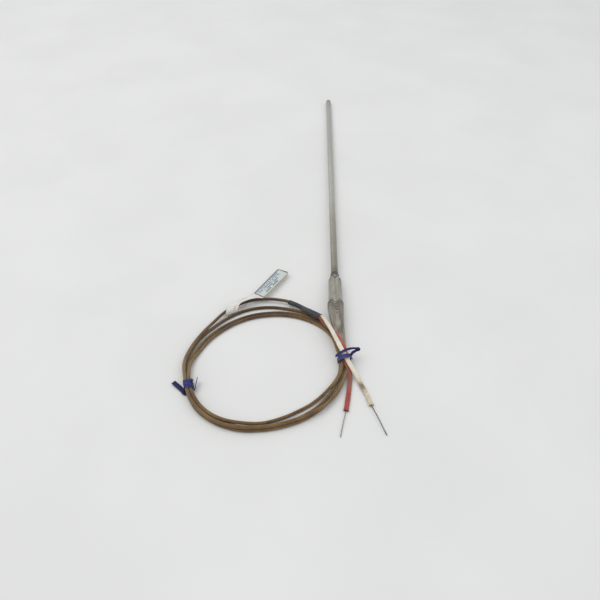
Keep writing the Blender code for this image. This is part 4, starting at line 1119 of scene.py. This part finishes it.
def build_left_tie():
    """A long wrap round the four strands between two coil stations."""
    start, end = (sum(coil_point(degrees, spot) for spot in settled(degrees)) / 4.0
                  for degrees in (150, 165))
    along = (end - start) / np.linalg.norm(end - start)
    outward = np.cross(along, UP)
    outward *= np.sign(outward @ (start - coil_point(150, (0.0, start[2] + TABLE))))
    # The strands bow outwards between the two stations.
    centre = start + (end - start) * 0.53 + 0.36 * outward
    half = EASED / 2 + CABLE_R + 0.36
    steps = 86
    wraps = []
    for i in range(2, steps + 1):
        angle = math.radians(-24 - i * 10.2)
        x, z = math.cos(angle), math.sin(angle)
        squareness = max(abs(x), abs(z)) ** 0.74
        # Tone: painted shade underneath and on the inner side, painted highlight on top.
        wraps.append((half * x / squareness, -4.6 + 9.2 * (i / steps),
                      max(half * z / squareness, -3.22), 0.0, 1.12, 0.0,
                      0.5 - 0.55 * max(0.0, z) + 0.35 * max(0.0, -x)))
    build_tie("left", "left_tie", LEFT_TIE_START + wraps + LEFT_TIE_END, centre, outward, along)


def build_right_tie():
    angle = SKEW - math.radians(355.0)
    build_tie("right", "cable", RIGHT_TIE, np.array([*COIL_CENTRE, -TABLE]),
              outward=(math.cos(angle), math.sin(angle), 0.0),
              along=(math.sin(angle), -math.cos(angle), 0.0))


# ------------------------------------------------------------------ label
def strip_surface(left, right, rows, columns, bow):
    """Points, normals and row distances of a sheet between two edges that share stations.
    It is straight between the first three stations, smooth after."""
    along = arc((left + right) / 2)
    x = np.unique(np.r_[np.linspace(0, along[-1], rows), along[:3]])

    def run(edge):
        flat = np.stack([np.interp(x, along[:3], edge[:3, axis]) for axis in range(3)], 1)
        if len(along) == 3:
            return flat
        curved = smooth_through(np.c_[along[2:], edge[2:]], np.maximum(x, along[2]))
        return np.where((x <= along[2])[:, None], flat, curved)

    across = np.linspace(0, 1, columns)[None, :, None]
    grid = run(left)[:, None] * (1 - across) + run(right)[:, None] * across
    normal = np.cross(np.gradient(grid, axis=1), np.gradient(grid, axis=0))
    normal /= np.linalg.norm(normal, axis=2)[..., None]
    if normal[0, 0, 2] < 0:
        normal = -normal
    return grid + normal * (bow * (1 - (2 * across - 1) ** 2)), normal, x


def sheet(name, grid, normal, along, thick, lift, material, slot):
    top, bottom = grid + normal * (lift + thick / 2), grid + normal * (lift - thick / 2)
    u = np.linspace(0, 1, grid.shape[1])
    return skin(name, np.concatenate([top, bottom[:, ::-1]], axis=1), material, v=along,
                u=np.r_[u, u[::-1], 0.0], smooth=40)


def build_label():
    left, right = at_height(STRIP_LEFT), at_height(STRIP_RIGHT)
    width = right[1] - left[1]
    right = np.insert(right, 2, left[2] + width * (STRIP_WIDTH / np.linalg.norm(width)), axis=0)
    for i, widen in enumerate(STRIP_WIDEN):
        right[i] = left[i] + (right[i] - left[i]) * widen
    strip = sheet("flag_strip", *strip_surface(left, right, 150, 13, bow=0.12), thick=0.16,
                  lift=0.0, material=STRIP, slot="label_strip")
    stand_in(strip, "tag_strip", "tag")
    # The laminate lies on the strip's straight part, a little inside its edges and ends.
    face_left = left[:3] * 0.965 + right[:3] * 0.035
    face_right = right[:3] * 0.965 + left[:3] * 0.035
    for edge in (face_left, face_right):
        edge[2] = edge[2] + (edge[1] - edge[2]) * 0.02
        edge[0] = edge[0] + (edge[1] - edge[0]) * 0.2
    grid, normal, along = strip_surface(face_left, face_right, 90, 15, bow=0.16)
    face = sheet("flag_laminate", grid, normal, along, thick=0.14, lift=0.22,
                 material=label_mat(float(along[-1])), slot="label_print")
    stand_in(face, "tag_label", "tag")


# ------------------------------------------------------------------ floor, light, camera
SCENE_CENTRE = (-0.04, -0.30)


def build_floor():
    count = 24
    ticks = np.linspace(-3.0, 3.0, count)
    verts = [(SCENE_CENTRE[0] + x, SCENE_CENTRE[1] + y, FLOOR * MM) for y in ticks for x in ticks]
    faces = [(i * count + j, i * count + j + 1, (i + 1) * count + j + 1, (i + 1) * count + j)
             for i in range(count - 1) for j in range(count - 1)]
    mesh = bpy.data.meshes.new("floor")
    mesh.from_pydata(verts, [], faces)
    mesh.materials.append(floor_mat())
    ob = bpy.data.objects.new("floor", mesh)
    bpy.context.scene.collection.objects.link(ob)


def build_world(scene):
    world = bpy.data.worlds.new("studio")
    world.use_nodes = True
    background = world.node_tree.nodes["Background"]
    background.inputs["Color"].default_value = (0.93, 0.95, 1.0, 1.0)
    background.inputs["Strength"].default_value = 0.63
    scene.world = world
    scene.view_settings.view_transform = "Standard"
    scene.view_settings.look = "None"


def build_light(scene, name, location, power, color):
    """Two-metre square light aimed at the scene's centre."""
    light = bpy.data.lights.new(name, "AREA")
    light.shape = "RECTANGLE"
    light.size = light.size_y = 2.0
    light.energy = power
    light.color = color
    ob = bpy.data.objects.new(name, light)
    ob.location = location
    aim = np.array([*SCENE_CENTRE, 0.0]) - np.array(location)
    ob.rotation_euler = Vector(aim).to_track_quat("-Z", "Y").to_euler()
    scene.collection.objects.link(ob)


def build_camera(scene):
    data = bpy.data.cameras.new("cam")
    data.sensor_width = 36.0
    data.lens = 37.2
    data.clip_start, data.clip_end = 0.01, 20.0
    camera = bpy.data.objects.new("cam", data)
    camera.location = (-0.02414, -0.80553, 0.3793)
    camera.rotation_euler = (math.radians(47.0), 0.0, math.radians(1.0444))
    scene.collection.objects.link(camera)
    scene.camera = camera


# ------------------------------------------------------------------ build
tip_length = build_tip()
build_sheath(tip_length)
build_front_boot()
build_barrel()
build_jacket()
build_rear_boot()
build_breakout()
build_conductor("positive", -1, WHITE_LINE, WHITE_WIRE, WHITE, IRON)
build_conductor("negative", 1, RED_LINE, RED_WIRE, RED, CONSTANTAN)
build_left_tie()
build_right_tie()
build_label()

# CAD solids that keep their shape and only get a material.
for node, material in (("mgo_insulation", MAGNESIA), ("hot_junction_bead", BEAD),
                       ("thermoelement_positive", IRON), ("thermoelement_negative", CONSTANTAN),
                       ("potting_plug", POTTING), ("splice_positive", SPLICE),
                       ("splice_negative", SPLICE), ("splice_sleeve_positive", SPLICE_SLEEVE),
                       ("splice_sleeve_negative", SPLICE_SLEEVE)):
    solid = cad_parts[node]
    solid.data.materials.clear()
    solid.data.materials.append(material)

build_floor()
scene = bpy.context.scene
build_world(scene)
build_light(scene, "key", (-0.9, 0.1, 2.0), power=18.5, color=(1.0, 0.995, 0.98))
build_light(scene, "fill", (1.3, -1.2, 1.8), power=9.5, color=(0.98, 0.99, 1.0))
build_camera(scene)
